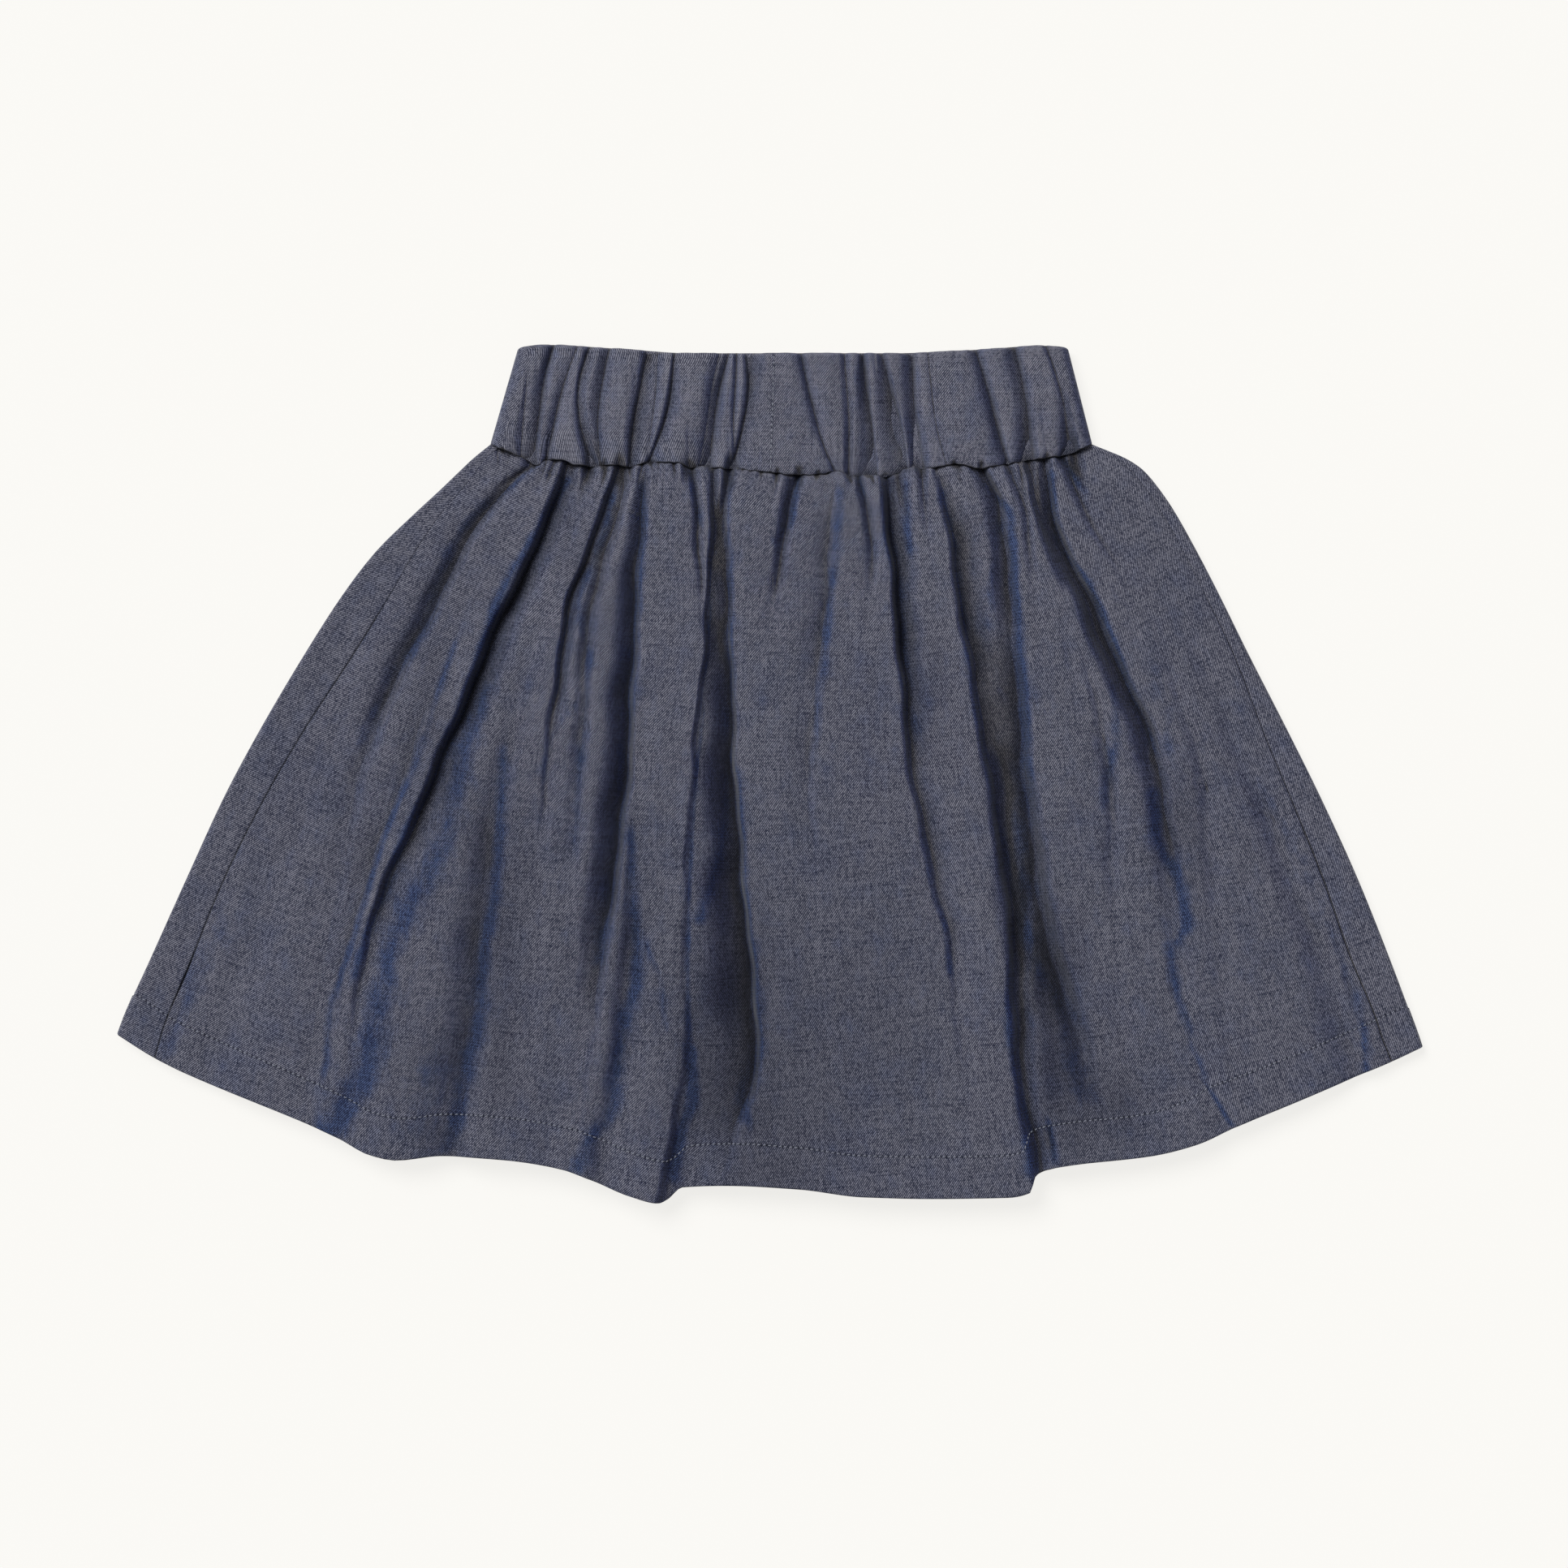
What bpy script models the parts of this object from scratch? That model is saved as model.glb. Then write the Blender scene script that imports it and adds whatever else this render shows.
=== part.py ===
"""A child's gathered skirt in light twill, laid flat on a surface.

A front and a back panel are gathered onto a waistband, a casing over wide elastic. The
front panel lies on the back panel. The back panel comes round both side folds, so both
side seams show on top. Metres, +Z up, +Y towards the waist, origin under the middle.
"""

from collections import namedtuple

import bmesh
import bpy
import numpy as np

# Cloth and seams
CLOTH = 0.0011  # wall of one layer of cloth
HEM_CLOTH = 0.0017  # wall where the hem is turned up
HEM_DEPTH = 0.0155  # height of the turned-up hem
SEAM_GAP = 0.0003  # clearance between two sewn pieces

# Heights of the cloth's outer surface above the table
SEAM_TOP = 0.0066  # where the front panel is sewn into the band
EDGE_TOP = 0.0046  # top of the rounded side folds
LOWEST_TROUGH = 0.0039  # the front panel's deepest troughs, just clear of the back panel
TROUGH_SOFTNESS = 0.0005  # how softly a trough settles on that height
CROWN_POWER = 3.2  # how fast the crown falls away towards the side seams

# Waistband
BAND_WALL = 0.0029  # two layers of casing over elastic
BAND_THICKNESS = 0.0076  # front and back of the band, lying on each other
BAND_EDGE = 0.0008  # rounding of its top and bottom edges
BAND_EDGE_STEP = 0.3  # the rounding's middle point, as a share of its size
BAND_RELIEF_FADE = 0.006  # the creases of the casing die away this near its side folds

# Meshes: places of the rows down both panels, and of the columns between two folds
PANEL_ROWS = (0, 0.02, 0.05, 0.09, 0.14, 0.21, 0.30, 0.41, 0.53, 0.66, 0.80)
FOLD_COLUMNS = (0, 0.18, 0.5, 0.82)
CREASE_COLUMNS = (0, 0.25, 0.6)
HEM_TURN_SHARE = 0.15  # the step in thickness at the top of the turned hem, as a share of its depth
BACK_COLUMNS = (-0.22, 0, 0.22)  # columns round each pressed gather, as shares of their spacing
STRIP_COLUMNS = 3
FOLD_STEPS = 6
BAND_ROWS = (0.25, 0.5, 0.75)

# The waist seam from left to right: x, y
WAIST_SEAM = (
    (-0.0966, 0.1143),
    (-0.0880, 0.1102),
    (-0.0800, 0.1080),
    (-0.0610, 0.1068),
    (-0.0405, 0.1080),
    (-0.0140, 0.1058),
    (0.0106, 0.1036),
    (0.0374, 0.1031),
    (0.0515, 0.1067),
    (0.0810, 0.1076),
    (0.1022, 0.1101),
    (0.1121, 0.1143),
)

# The band's top edge from left to right: x, y
BAND_TOP = (
    (-0.0866, 0.1478),
    (-0.0780, 0.1487),
    (-0.0500, 0.1472),
    (-0.0270, 0.1458),
    (0.0430, 0.1458),
    (0.0720, 0.1470),
    (0.0950, 0.1484),
    (0.1033, 0.1478),
)

# The hem as seen from above, from the left side fold to the right one: x, y
HEM = (
    (-0.2260, -0.0905),
    (-0.2132, -0.0985),
    (-0.1980, -0.1058),
    (-0.1796, -0.1132),
    (-0.1640, -0.1195),
    (-0.1490, -0.1262),
    (-0.1380, -0.1320),
    (-0.1290, -0.1338),
    (-0.1140, -0.1324),
    (-0.0920, -0.1336),
    (-0.0720, -0.1368),
    (-0.0620, -0.1404),
    (-0.0480, -0.1462),
    (-0.0380, -0.1486),
    (-0.0352, -0.1474),
    (-0.0300, -0.1432),
    (-0.0140, -0.1425),
    (0.0110, -0.1438),
    (0.0320, -0.1464),
    (0.0560, -0.1470),
    (0.0830, -0.1466),
    (0.0902, -0.1450),
    (0.0925, -0.1390),
    (0.1000, -0.1362),
    (0.1330, -0.1322),
    (0.1480, -0.1284),
    (0.1620, -0.1222),
    (0.1830, -0.1136),
    (0.2040, -0.1048),
    (0.2160, -0.0998),
    (0.2264, -0.0949),
)

# The back panel's hem, just inside the front one: x, y
BACK_HEM = (
    (-0.2260, -0.0905),
    (-0.2132, -0.0985),
    (-0.1500, -0.1220),
    (-0.1000, -0.1300),
    (-0.0400, -0.1375),
    (0.0300, -0.1400),
    (0.0800, -0.1370),
    (0.1100, -0.1310),
    (0.1500, -0.1225),
    (0.2160, -0.0998),
    (0.2264, -0.0949),
)

# The side folds and side seams down the skirt
Side = namedtuple("Side", "y left_fold left_seam right_seam right_fold")
SIDES = (
    Side(0.1143, -0.0966, -0.0922, 0.1076, 0.1121),
    Side(0.1090, -0.1031, -0.0986, 0.1200, 0.1246),
    Side(0.1053, -0.1070, -0.1012, 0.1252, 0.1299),
    Side(0.0983, -0.1143, -0.1067, 0.1311, 0.1358),
    Side(0.0912, -0.1220, -0.1129, 0.1358, 0.1406),
    Side(0.0771, -0.1364, -0.1225, 0.1436, 0.1485),
    Side(0.0630, -0.1473, -0.1307, 0.1508, 0.1558),
    Side(0.0419, -0.1609, -0.1437, 0.1610, 0.1662),
    Side(0.0137, -0.1775, -0.1620, 0.1718, 0.1806),
    Side(-0.0075, -0.1888, -0.1744, 0.1806, 0.1911),
    Side(-0.0357, -0.2018, -0.1885, 0.1919, 0.2040),
    Side(-0.0639, -0.2145, -0.2001, 0.2018, 0.2153),
    Side(-0.0850, -0.2240, -0.2088, 0.2105, 0.2232),
    Side(-0.0905, -0.2260, -0.2106, 0.2122, 0.2252),
    Side(-0.0990, -0.2292, -0.2130, 0.2156, 0.2280),
)

# The swell of the front panel: share of the way down, height of the cloth's outer surface
CROWN = (
    (0.0, SEAM_TOP),
    (0.03, 0.0094),
    (0.10, 0.0112),
    (0.30, 0.0126),
    (0.60, 0.0130),
    (1.0, 0.0112),
)

# Folds and gathers of the front panel, from left to right. For each: where its trough runs and
# how deep it is at the heights in LEVELS, and on each side of it how wide the flank is at the waist
# and at the hem, and how sharply it turns. Depths and widths are in millimetres
LEVELS = (0.108, 0.090, 0.056, 0.0, -0.060, -0.095, -0.130)
Fold = namedtuple("Fold", "name x depth left right turns")
MM = 0.001
FOLDS = (
    Fold("left_side", (-0.0960, -0.1070, -0.1239, -0.1561, -0.1789, -0.1911, -0.2001),
         (0, 0.3, 0.4, 0.5, 1.0, 1.3, 1.6), (3.0, 7.0), (3.0, 7.0), (2.2, 2.2)),
    Fold("left_hip", (-0.0825, -0.0986, -0.1180, -0.1423, -0.1530, -0.1586, -0.1634),
         (1.6, 3.4, 4.6, 1.8, 0.6, 0.4, 0.3), (3.6, 5.6), (2.0, 3.6), (1.8, 2.8)),
    Fold("left_streak", (-0.0754, -0.0867, -0.1056, -0.1268, -0.1468, -0.1544, -0.1595),
         (0, 0, 0.3, 1.5, 1.6, 1.2, 0.6), (4.0, 7.0), (1.4, 2.4), (1.6, 2.8)),
    Fold("left_deep", (-0.0692, -0.0752, -0.0912, -0.1146, -0.1380, -0.1431, -0.1476),
         (3.6, 6.0, 8.0, 8.0, 4.8, 2.6, 1.4), (1.6, 2.6), (3.8, 7.6), (3.2, 1.7)),
    Fold("left_middle", (-0.0622, -0.0664, -0.0777, -0.0924, -0.1014, -0.1050, -0.1104),
         (2.8, 0.8, 0.3, 1.8, 3.6, 3.6, 2.8), (2.0, 8.0), (2.0, 6.0), (2.0, 2.4)),
    Fold("left_branch", (-0.0512, -0.0574, -0.0689, -0.0766, -0.0825, -0.0867, -0.0924),
         (3.4, 3.6, 3.2, 1.0, 0, 0, 0), (1.2, 1.8), (2.4, 4.0), (3.4, 1.8)),
    Fold("left_gather", (-0.0478, -0.0523, -0.0619, -0.0658, -0.0698, -0.0726, -0.0754),
         (1.6, 2.6, 2.2, 1.4, 0.5, 0.5, 0.6), (2.4, 4.4), (1.8, 3.2), (2.0, 2.4)),
    Fold("left_inner", (-0.0427, -0.0444, -0.0470, -0.0501, -0.0582, -0.0636, -0.0684),
         (2.8, 4.2, 5.8, 8.4, 5.0, 2.4, 1.2), (2.8, 7.6), (1.4, 3.0), (1.7, 3.4)),
    Fold("left_soft", (-0.0360, -0.0365, -0.0385, -0.0444, -0.0475, -0.0506, -0.0563),
         (0.8, 0.3, 0.2, 0.6, 2.2, 2.4, 2.0), (1.8, 4.6), (2.0, 7.0), (2.4, 1.7)),
    Fold("centre_nip", (-0.0266, -0.0247, -0.0233, -0.0281, -0.0309, -0.0314, -0.0371),
         (2.8, 2.2, 0.5, 0, 0, 0, 0), (1.2, 2.0), (1.2, 2.0), (2.2, 2.2)),
    Fold("centre_pinch", (-0.0193, -0.0190, -0.0199, -0.0244, -0.0269, -0.0258, -0.0314),
         (2.6, 3.0, 3.2, 3.0, 2.8, 3.4, 4.4), (1.1, 2.2), (1.4, 3.0), (3.4, 2.0)),
    Fold("centre_deep", (-0.0131, -0.0154, -0.0142, -0.0125, -0.0078, -0.0049, -0.0142),
         (3.4, 4.4, 5.6, 8.6, 8.8, 6.0, 2.4), (1.4, 8.4), (1.2, 2.4), (1.8, 3.4)),
    Fold("centre_tuck", (0.0004, 0.0004, 0.0001, -0.0021, 0.0010, 0.0035, 0.0052),
         (1.2, 0.3, 0, 0, 0, 0, 0), (1.7, 3.4), (1.7, 3.4), (2.2, 2.2)),
    Fold("centre_dent", (0.0109, 0.0066, 0.0021, 0.0041, 0.0078, 0.0106, 0.0125),
         (3.4, 3.4, 0.5, 0, 0, 0, 0), (1.9, 3.8), (1.5, 3.4), (2.2, 2.6)),
    Fold("centre_soft", (0.0244, 0.0213, 0.0190, 0.0131, 0.0165, 0.0210, 0.0250),
         (0.5, 1.5, 1.9, 1.3, 0.4, 0.3, 0.3), (4.4, 7.0), (1.6, 2.4), (1.6, 2.8)),
    Fold("right_nip", (0.0289, 0.0340, 0.0365, 0.0368, 0.0402, 0.0430, 0.0458),
         (2.8, 2.2, 0.2, 0, 0, 0, 0), (1.6, 3.0), (1.4, 3.0), (2.2, 2.2)),
    Fold("right_inner", (0.0407, 0.0419, 0.0453, 0.0506, 0.0633, 0.0670, 0.0698),
         (3.8, 5.8, 6.6, 3.0, 1.6, 0.5, 0), (1.4, 2.2), (3.6, 7.0), (3.4, 1.9)),
    Fold("right_tuck", (0.0523, 0.0540, 0.0577, 0.0627, 0.0712, 0.0743, 0.0774),
         (2.0, 0.8, 0, 0, 0, 0, 0), (1.3, 3.0), (1.3, 3.0), (2.2, 2.2)),
    Fold("right_short", (0.0580, 0.0622, 0.0678, 0.0774, 0.0856, 0.0870, 0.0929),
         (2.4, 4.6, 5.4, 5.0, 7.0, 4.6, 4.0), (1.4, 2.6), (1.6, 5.6), (3.2, 2.2)),
    Fold("right_deep", (0.0729, 0.0802, 0.0830, 0.0859, 0.0904, 0.1028, 0.1067),
         (2.4, 4.2, 3.6, 6.4, 7.6, 5.0, 1.6), (3.0, 8.0), (1.4, 2.6), (2.0, 3.2)),
    Fold("right_pinch", (0.0825, 0.0887, 0.0926, 0.0966, 0.1050, 0.1121, 0.1158),
         (2.6, 1.4, 0.3, 0, 0, 0, 0), (1.5, 3.0), (1.5, 3.0), (2.2, 2.2)),
    Fold("right_branch", (0.0901, 0.0938, 0.1045, 0.1175, 0.1203, 0.1242, 0.1282),
         (3.0, 1.6, 0.3, 1.3, 0.4, 0.3, 0.2), (1.5, 3.2), (1.5, 3.2), (2.2, 2.2)),
    Fold("right_middle", (0.0955, 0.0983, 0.1127, 0.1349, 0.1423, 0.1468, 0.1626),
         (3.6, 6.4, 7.8, 4.0, 2.2, 1.6, 1.8), (3.4, 8.0), (1.0, 6.0), (1.6, 3.0)),
    Fold("right_hip", (0.1028, 0.1098, 0.1299, 0.1502, 0.1558, 0.1600, 0.1733),
         (2.8, 1.4, 0.3, 1.0, 0.5, 0.3, 0.3), (1.6, 4.0), (1.6, 4.0), (2.2, 2.2)),
    Fold("right_side", (0.1121, 0.1259, 0.1440, 0.1671, 0.1902, 0.2009, 0.2122),
         (0, 0, 0.2, 0.8, 1.6, 2.0, 2.2), (3.0, 6.0), (2.4, 3.6), (2.2, 2.2)),
)

# Creases of the band's casing on its front: x at the top edge and at the seam, depth, half width
Crease = namedtuple("Crease", "x_top x_seam depth width")
BAND_CREASES = (
    Crease(-0.0766, -0.0812, 0.0013, 0.0012),
    Crease(-0.0722, -0.0780, 0.0010, 0.0012),
    Crease(-0.0656, -0.0722, 0.0007, 0.0014),
    Crease(-0.0600, -0.0600, 0.0008, 0.0014),
    Crease(-0.0557, -0.0572, 0.0009, 0.0012),
    Crease(-0.0427, -0.0481, 0.0013, 0.0012),
    Crease(-0.0337, -0.0405, 0.0011, 0.0012),
    Crease(-0.0176, -0.0269, 0.0010, 0.0012),
    Crease(-0.0097, -0.0199, 0.0014, 0.0012),
    Crease(-0.0049, -0.0134, 0.0010, 0.0014),
    Crease(0.0014, 0.0004, 0.0005, 0.0013),
    Crease(0.0111, 0.0221, 0.0009, 0.0014),
    Crease(0.0275, 0.0312, 0.0013, 0.0012),
    Crease(0.0320, 0.0357, 0.0015, 0.0012),
    Crease(0.0388, 0.0430, 0.0013, 0.0017),
    Crease(0.0486, 0.0515, 0.0015, 0.0012),
    Crease(0.0620, 0.0640, 0.0004, 0.0014),
    Crease(0.0721, 0.0825, 0.0012, 0.0012),
    Crease(0.0766, 0.0853, 0.0012, 0.0012),
    Crease(0.0836, 0.0895, 0.0012, 0.0012),
    Crease(0.0960, 0.0985, 0.0007, 0.0012),
    Crease(0.1008, 0.1053, 0.0014, 0.0012),
)

# The side that lies on the table: pressed gathers, as soft hollows between flat stretches
BACK_GATHERS = 16
BACK_GATHER_DEPTH = 0.0010
BACK_GATHER_WIDTH = 0.0032
BACK_GATHER_LENGTH = 0.045
BACK_LONG_LENGTH = 0.150
BACK_LONG_EVERY = 3  # each third gather runs on towards the hem
BACK_SPREAD = 0.45  # how unevenly the hidden gathers are spread, as a share of their spacing
BAND_BACK_CREASES = 16
BAND_BACK_DEPTH = 0.0008
BAND_BACK_FADE = 0.018  # the same for the creases on its back
GOLDEN = 0.618034

CHAMBRAY = (0.080, 0.086, 0.124, 1.0)
CASING = (0.084, 0.092, 0.132, 1.0)
ROUGHNESS = 0.86
SHEEN = 0.15

# The heights between which the waist seam and the hem lie
WAIST_REACH = (0.095, 0.125)
HEM_REACH = (-0.160, -0.080)
HALVINGS = 30


def smooth_line(points, where):
    """A smooth curve through table rows, read at the given places of its first column."""
    table = np.array(points, float)
    at, value = table[:, 0], table[:, 1]
    if at[0] > at[-1]:
        at, value = at[::-1], value[::-1]
    slope = np.diff(value) / np.diff(at)
    product = slope[:-1] * slope[1:]
    total = slope[:-1] + slope[1:]
    tangent = np.zeros_like(value)
    tangent[0], tangent[-1] = slope[0], slope[-1]
    tangent[1:-1] = np.where(product > 0, 2 * product / np.where(total == 0, 1, total), 0)
    inside = np.clip(where, at[0], at[-1])
    index = np.clip(np.searchsorted(at, inside) - 1, 0, len(at) - 2)
    step = at[index + 1] - at[index]
    u = (inside - at[index]) / step
    curve = (
        value[index] * (1 + 2 * u) * (1 - u) ** 2
        + tangent[index] * step * u * (1 - u) ** 2
        + value[index + 1] * u * u * (3 - 2 * u)
        + tangent[index + 1] * step * u * u * (u - 1)
    )
    beyond = np.where(inside <= at[0], tangent[0], tangent[-1])
    return curve + beyond * (where - inside)


def ease(value):
    """0 below 0, 1 above 1, and a smooth step between."""
    value = np.clip(value, 0, 1)
    return value * value * (3 - 2 * value)


def side_line(column, y):
    return smooth_line([(row.y, getattr(row, column)) for row in SIDES], y)


def fold_line(fold, y):
    return smooth_line(list(zip(LEVELS, fold.x)), y)


def trough(offset, left, right, turns):
    """1 on a trough's line, falling to 0 over its left and right flanks."""
    on_left = offset < 0
    width = np.where(on_left, left, right)
    return np.exp(-(np.abs(offset / width) ** np.where(on_left, turns[0], turns[1])))


def hollow(offset, width):
    """1 on a hollow's line and exactly 0 beyond its half width."""
    return np.clip(1 - (offset / width) ** 2, 0, 1) ** 2


def front_height(x, y, share):
    """Height of the front panel's outer surface: its crown, less its folds and gathers."""
    left, right = side_line("left_seam", y), side_line("right_seam", y)
    across = np.clip(2 * (x - left) / (right - left) - 1, -1, 1)
    swell = smooth_line(CROWN, share) - EDGE_TOP
    height = EDGE_TOP + swell * (1 - np.abs(across) ** CROWN_POWER)
    for fold in FOLDS:
        depth = MM * np.maximum(smooth_line(list(zip(LEVELS, fold.depth)), y), 0)
        offset = (x - fold_line(fold, y)) / MM
        flanks = [side[0] + share * (side[1] - side[0]) for side in (fold.left, fold.right)]
        height = height - depth * trough(offset, *flanks, fold.turns)
    above = (height - LOWEST_TROUGH) / TROUGH_SOFTNESS
    return LOWEST_TROUGH + TROUGH_SOFTNESS * np.logaddexp(0, above)


def back_spread(index):
    """Where a pressed gather runs, as a share of the width: evenly spread, then shifted a little."""
    shift = BACK_SPREAD * ((index * GOLDEN) % 1 - 0.5)
    return (index + 0.5 + shift) / BACK_GATHERS


def back_height(x, y, share):
    """How far the pressed gathers lift the underside, 0 where it rests."""
    left, right = side_line("left_fold", y), side_line("right_fold", y)
    height = np.zeros_like(x)
    for index in range(BACK_GATHERS):
        runs_on = index % BACK_LONG_EVERY == 1
        length = BACK_LONG_LENGTH if runs_on else BACK_GATHER_LENGTH
        depth = BACK_GATHER_DEPTH * (1 - ease((y[0] - y) / length))
        offset = x - left - back_spread(index) * (right - left)
        height = height + depth * hollow(offset, BACK_GATHER_WIDTH * (1 + share))
    return height


def meeting(line, curve, low, high):
    """The height at which a column that runs along line(y) meets a curve, found by halving."""
    for _ in range(HALVINGS):
        middle = (low + high) / 2
        if middle < smooth_line(curve, line(middle)):
            low = middle
        else:
            high = middle
    return low


def column_points(line, hem):
    """x, y and share of the way down of a panel's column, from the waist seam to its hem."""
    y_top = meeting(line, WAIST_SEAM, *WAIST_REACH) - SEAM_GAP / 2
    y_bottom = meeting(line, hem, *HEM_REACH)
    turn = HEM_DEPTH / (y_top - y_bottom)
    share = np.array([*PANEL_ROWS, 1 - turn, 1 - turn * (1 - HEM_TURN_SHARE), 1.0])
    y = y_top + share * (y_bottom - y_top)
    return line(y), y, share


def loft(name, rows, closed):
    """A mesh of quads between rows of points. A closed one joins up both ways."""
    mesh = bmesh.new()
    grid = [[mesh.verts.new(point) for point in row] for row in rows]
    if closed:
        grid = [[*row, row[0]] for row in [*grid, grid[0]]]
    for lower, upper in zip(grid, grid[1:]):
        for index in range(len(lower) - 1):
            mesh.faces.new((lower[index], lower[index + 1], upper[index + 1], upper[index]))
    data = bpy.data.meshes.new(name)
    mesh.to_mesh(data)
    mesh.free()
    data.shade_smooth()
    return data


def cloth_material(name, colour):
    material = bpy.data.materials.new(name)
    material.use_nodes = True
    shader = material.node_tree.nodes["Principled BSDF"]
    shader.inputs["Base Color"].default_value = colour
    shader.inputs["Roughness"].default_value = ROUGHNESS
    shader.inputs["Metallic"].default_value = 0.0
    shader.inputs["Sheen Weight"].default_value = SHEEN
    return material


def add_piece(collection, mesh, material):
    piece = bpy.data.objects.new(mesh.name, mesh)
    mesh.materials.append(material)
    collection.objects.link(piece)
    return piece


def add_cloth_wall(piece, columns):
    """Gives an open sheet its wall on the inner side, thicker over the rows of the turned hem."""
    wall_group = piece.vertex_groups.new(name="wall")
    rows = len(piece.data.vertices) // columns
    for index in range(len(piece.data.vertices)):
        in_hem = index % rows >= rows - 2
        wall_group.add([index], 1.0 if in_hem else CLOTH / HEM_CLOTH, "REPLACE")
    wall = piece.modifiers.new("cloth wall", "SOLIDIFY")
    wall.thickness = HEM_CLOTH
    wall.offset = -1
    wall.vertex_group = wall_group.name
    wall.use_even_offset = True


def between(first, second, part):
    """A column's line between two others, at a share of the way across."""
    return lambda y: first(y) + part * (second(y) - first(y))


def front_columns():
    """The columns of the front panel, which follow its folds, as functions of y that give x."""
    lines = [lambda y: side_line("left_seam", y) + SEAM_GAP / 2]
    lines += [lambda y, fold=fold: fold_line(fold, y) for fold in FOLDS]
    lines += [lambda y: side_line("right_seam", y) - SEAM_GAP / 2]
    columns = [
        between(first, second, part)
        for first, second in zip(lines, lines[1:])
        for part in FOLD_COLUMNS
    ]
    return [*columns, lines[-1]]


def make_front_panel(collection, material):
    rows = []
    for line in front_columns():
        x, y, share = column_points(line, HEM)
        rows.append(list(zip(x, y, front_height(x, y, share))))
    piece = add_piece(collection, loft("front_panel", rows, closed=False), material)
    add_cloth_wall(piece, len(rows))


def side_columns(fold, seam, inward):
    """Columns from a side seam, along the top strip and round the side fold: line, z, hem curve."""
    radius = EDGE_TOP / 2
    start = lambda y: side_line(seam, y) - inward * SEAM_GAP / 2
    end = lambda y: side_line(fold, y) + inward * radius
    strip = [(between(start, end, step / STRIP_COLUMNS), EDGE_TOP, HEM) for step in range(STRIP_COLUMNS)]
    bend = []
    for angle in np.linspace(0, np.pi, FOLD_STEPS + 1):
        out = radius * (1 - np.sin(angle))
        line = lambda y, out=out: side_line(fold, y) + inward * out
        bend.append((line, radius * (1 + np.cos(angle)), HEM))
    return strip + bend[:-1] + [(bend[-1][0], 0.0, BACK_HEM)]


def back_columns():
    """The columns of the back panel: round one side fold, across the table, round the other."""
    left = side_columns("left_fold", "left_seam", 1)
    right = side_columns("right_fold", "right_seam", -1)
    parts = sorted(
        back_spread(index) + offset / BACK_GATHERS
        for index in range(BACK_GATHERS)
        for offset in BACK_COLUMNS
    )
    parts.append((parts[-1] + 1) / 2)
    sheet = [(between(left[-1][0], right[-1][0], part), 0.0, BACK_HEM) for part in parts]
    return left + sheet + right[::-1]


def make_back_panel(collection, material):
    rows = []
    for line, z, hem in back_columns():
        x, y, share = column_points(line, hem)
        height = back_height(x, y, share) if z == 0.0 else np.full_like(x, z)
        rows.append(list(zip(x, y, height)))
    mesh = loft("back_panel", rows, closed=False)
    mesh.flip_normals()
    add_cloth_wall(add_piece(collection, mesh, material), len(rows))


def band_point(part, up, outward=0.0):
    """A place on the band at a share of its width and of its height, moved out past its side fold."""
    bottom_x = WAIST_SEAM[0][0] + part * (WAIST_SEAM[-1][0] - WAIST_SEAM[0][0]) + outward
    top_x = BAND_TOP[0][0] + part * (BAND_TOP[-1][0] - BAND_TOP[0][0]) + outward
    bottom = smooth_line(WAIST_SEAM, bottom_x) + SEAM_GAP / 2
    top = smooth_line(BAND_TOP, top_x)
    return bottom_x + up * (top_x - bottom_x), bottom + up * (top - bottom)


def side_fade(x, up, length):
    """0 at the band's side folds, 1 a given length away from them."""
    left, right = band_point(0.0, up)[0], band_point(1.0, up)[0]
    return ease((x - left) / length) * ease((right - x) / length)


def front_crease_depth(x, up):
    """How deep the casing's creases are on the front of the band."""
    lines = [crease.x_seam + up * (crease.x_top - crease.x_seam) for crease in BAND_CREASES]
    depths = [
        crease.depth * hollow(x - line, 2 * crease.width)
        for crease, line in zip(BAND_CREASES, lines)
    ]
    return max(depths) * side_fade(x, up, BAND_RELIEF_FADE)


# One station round the band: share of its width, which face it is on (1 front, -1 back, between
# on a side fold), how far it leans out sideways, and whether a crease of the back runs there
Station = namedtuple("Station", "part facing outward back_crease")


def band_stations():
    """Stations round the band: along the front, round the right fold, back along, round the left."""
    width = WAIST_SEAM[-1][0] - WAIST_SEAM[0][0]
    inset = BAND_THICKNESS / 2 / width
    creases = [(crease.x_seam - WAIST_SEAM[0][0]) / width for crease in BAND_CREASES]
    parts = [inset]
    for first, second in zip(creases, creases[1:]):
        parts += [first + step * (second - first) for step in CREASE_COLUMNS]
    parts += [creases[-1], 1 - inset]
    front = [Station(part, 1.0, 0.0, False) for part in parts]
    angles = np.linspace(0, np.pi, FOLD_STEPS + 1)[1:-1]
    right = [Station(1 - inset, np.cos(angle), np.sin(angle), False) for angle in angles]
    parts = np.linspace(1 - inset, inset, 2 * BAND_BACK_CREASES + 1)
    back = [Station(part, -1.0, 0.0, index % 2 == 1) for index, part in enumerate(parts)]
    left = [Station(inset, -np.cos(angle), -np.sin(angle), False) for angle in angles]
    return front + right + back + left


def band_section(tall):
    """The wall's section: height share and distance from the middle plane, up outside, down inside."""
    half = BAND_THICKNESS / 2
    wall = half - BAND_WALL
    edge = BAND_EDGE / tall
    step = BAND_EDGE_STEP
    corner = [(0.0, half - BAND_EDGE), (step * edge, half - step * BAND_EDGE), (edge, half)]
    middle = [(up, half) for up in BAND_ROWS]
    top = [(1 - up, distance) for up, distance in reversed(corner)]
    inside = [(1.0, wall), (0.5, wall), (0.0, wall)]
    return corner + middle + top + inside


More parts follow.
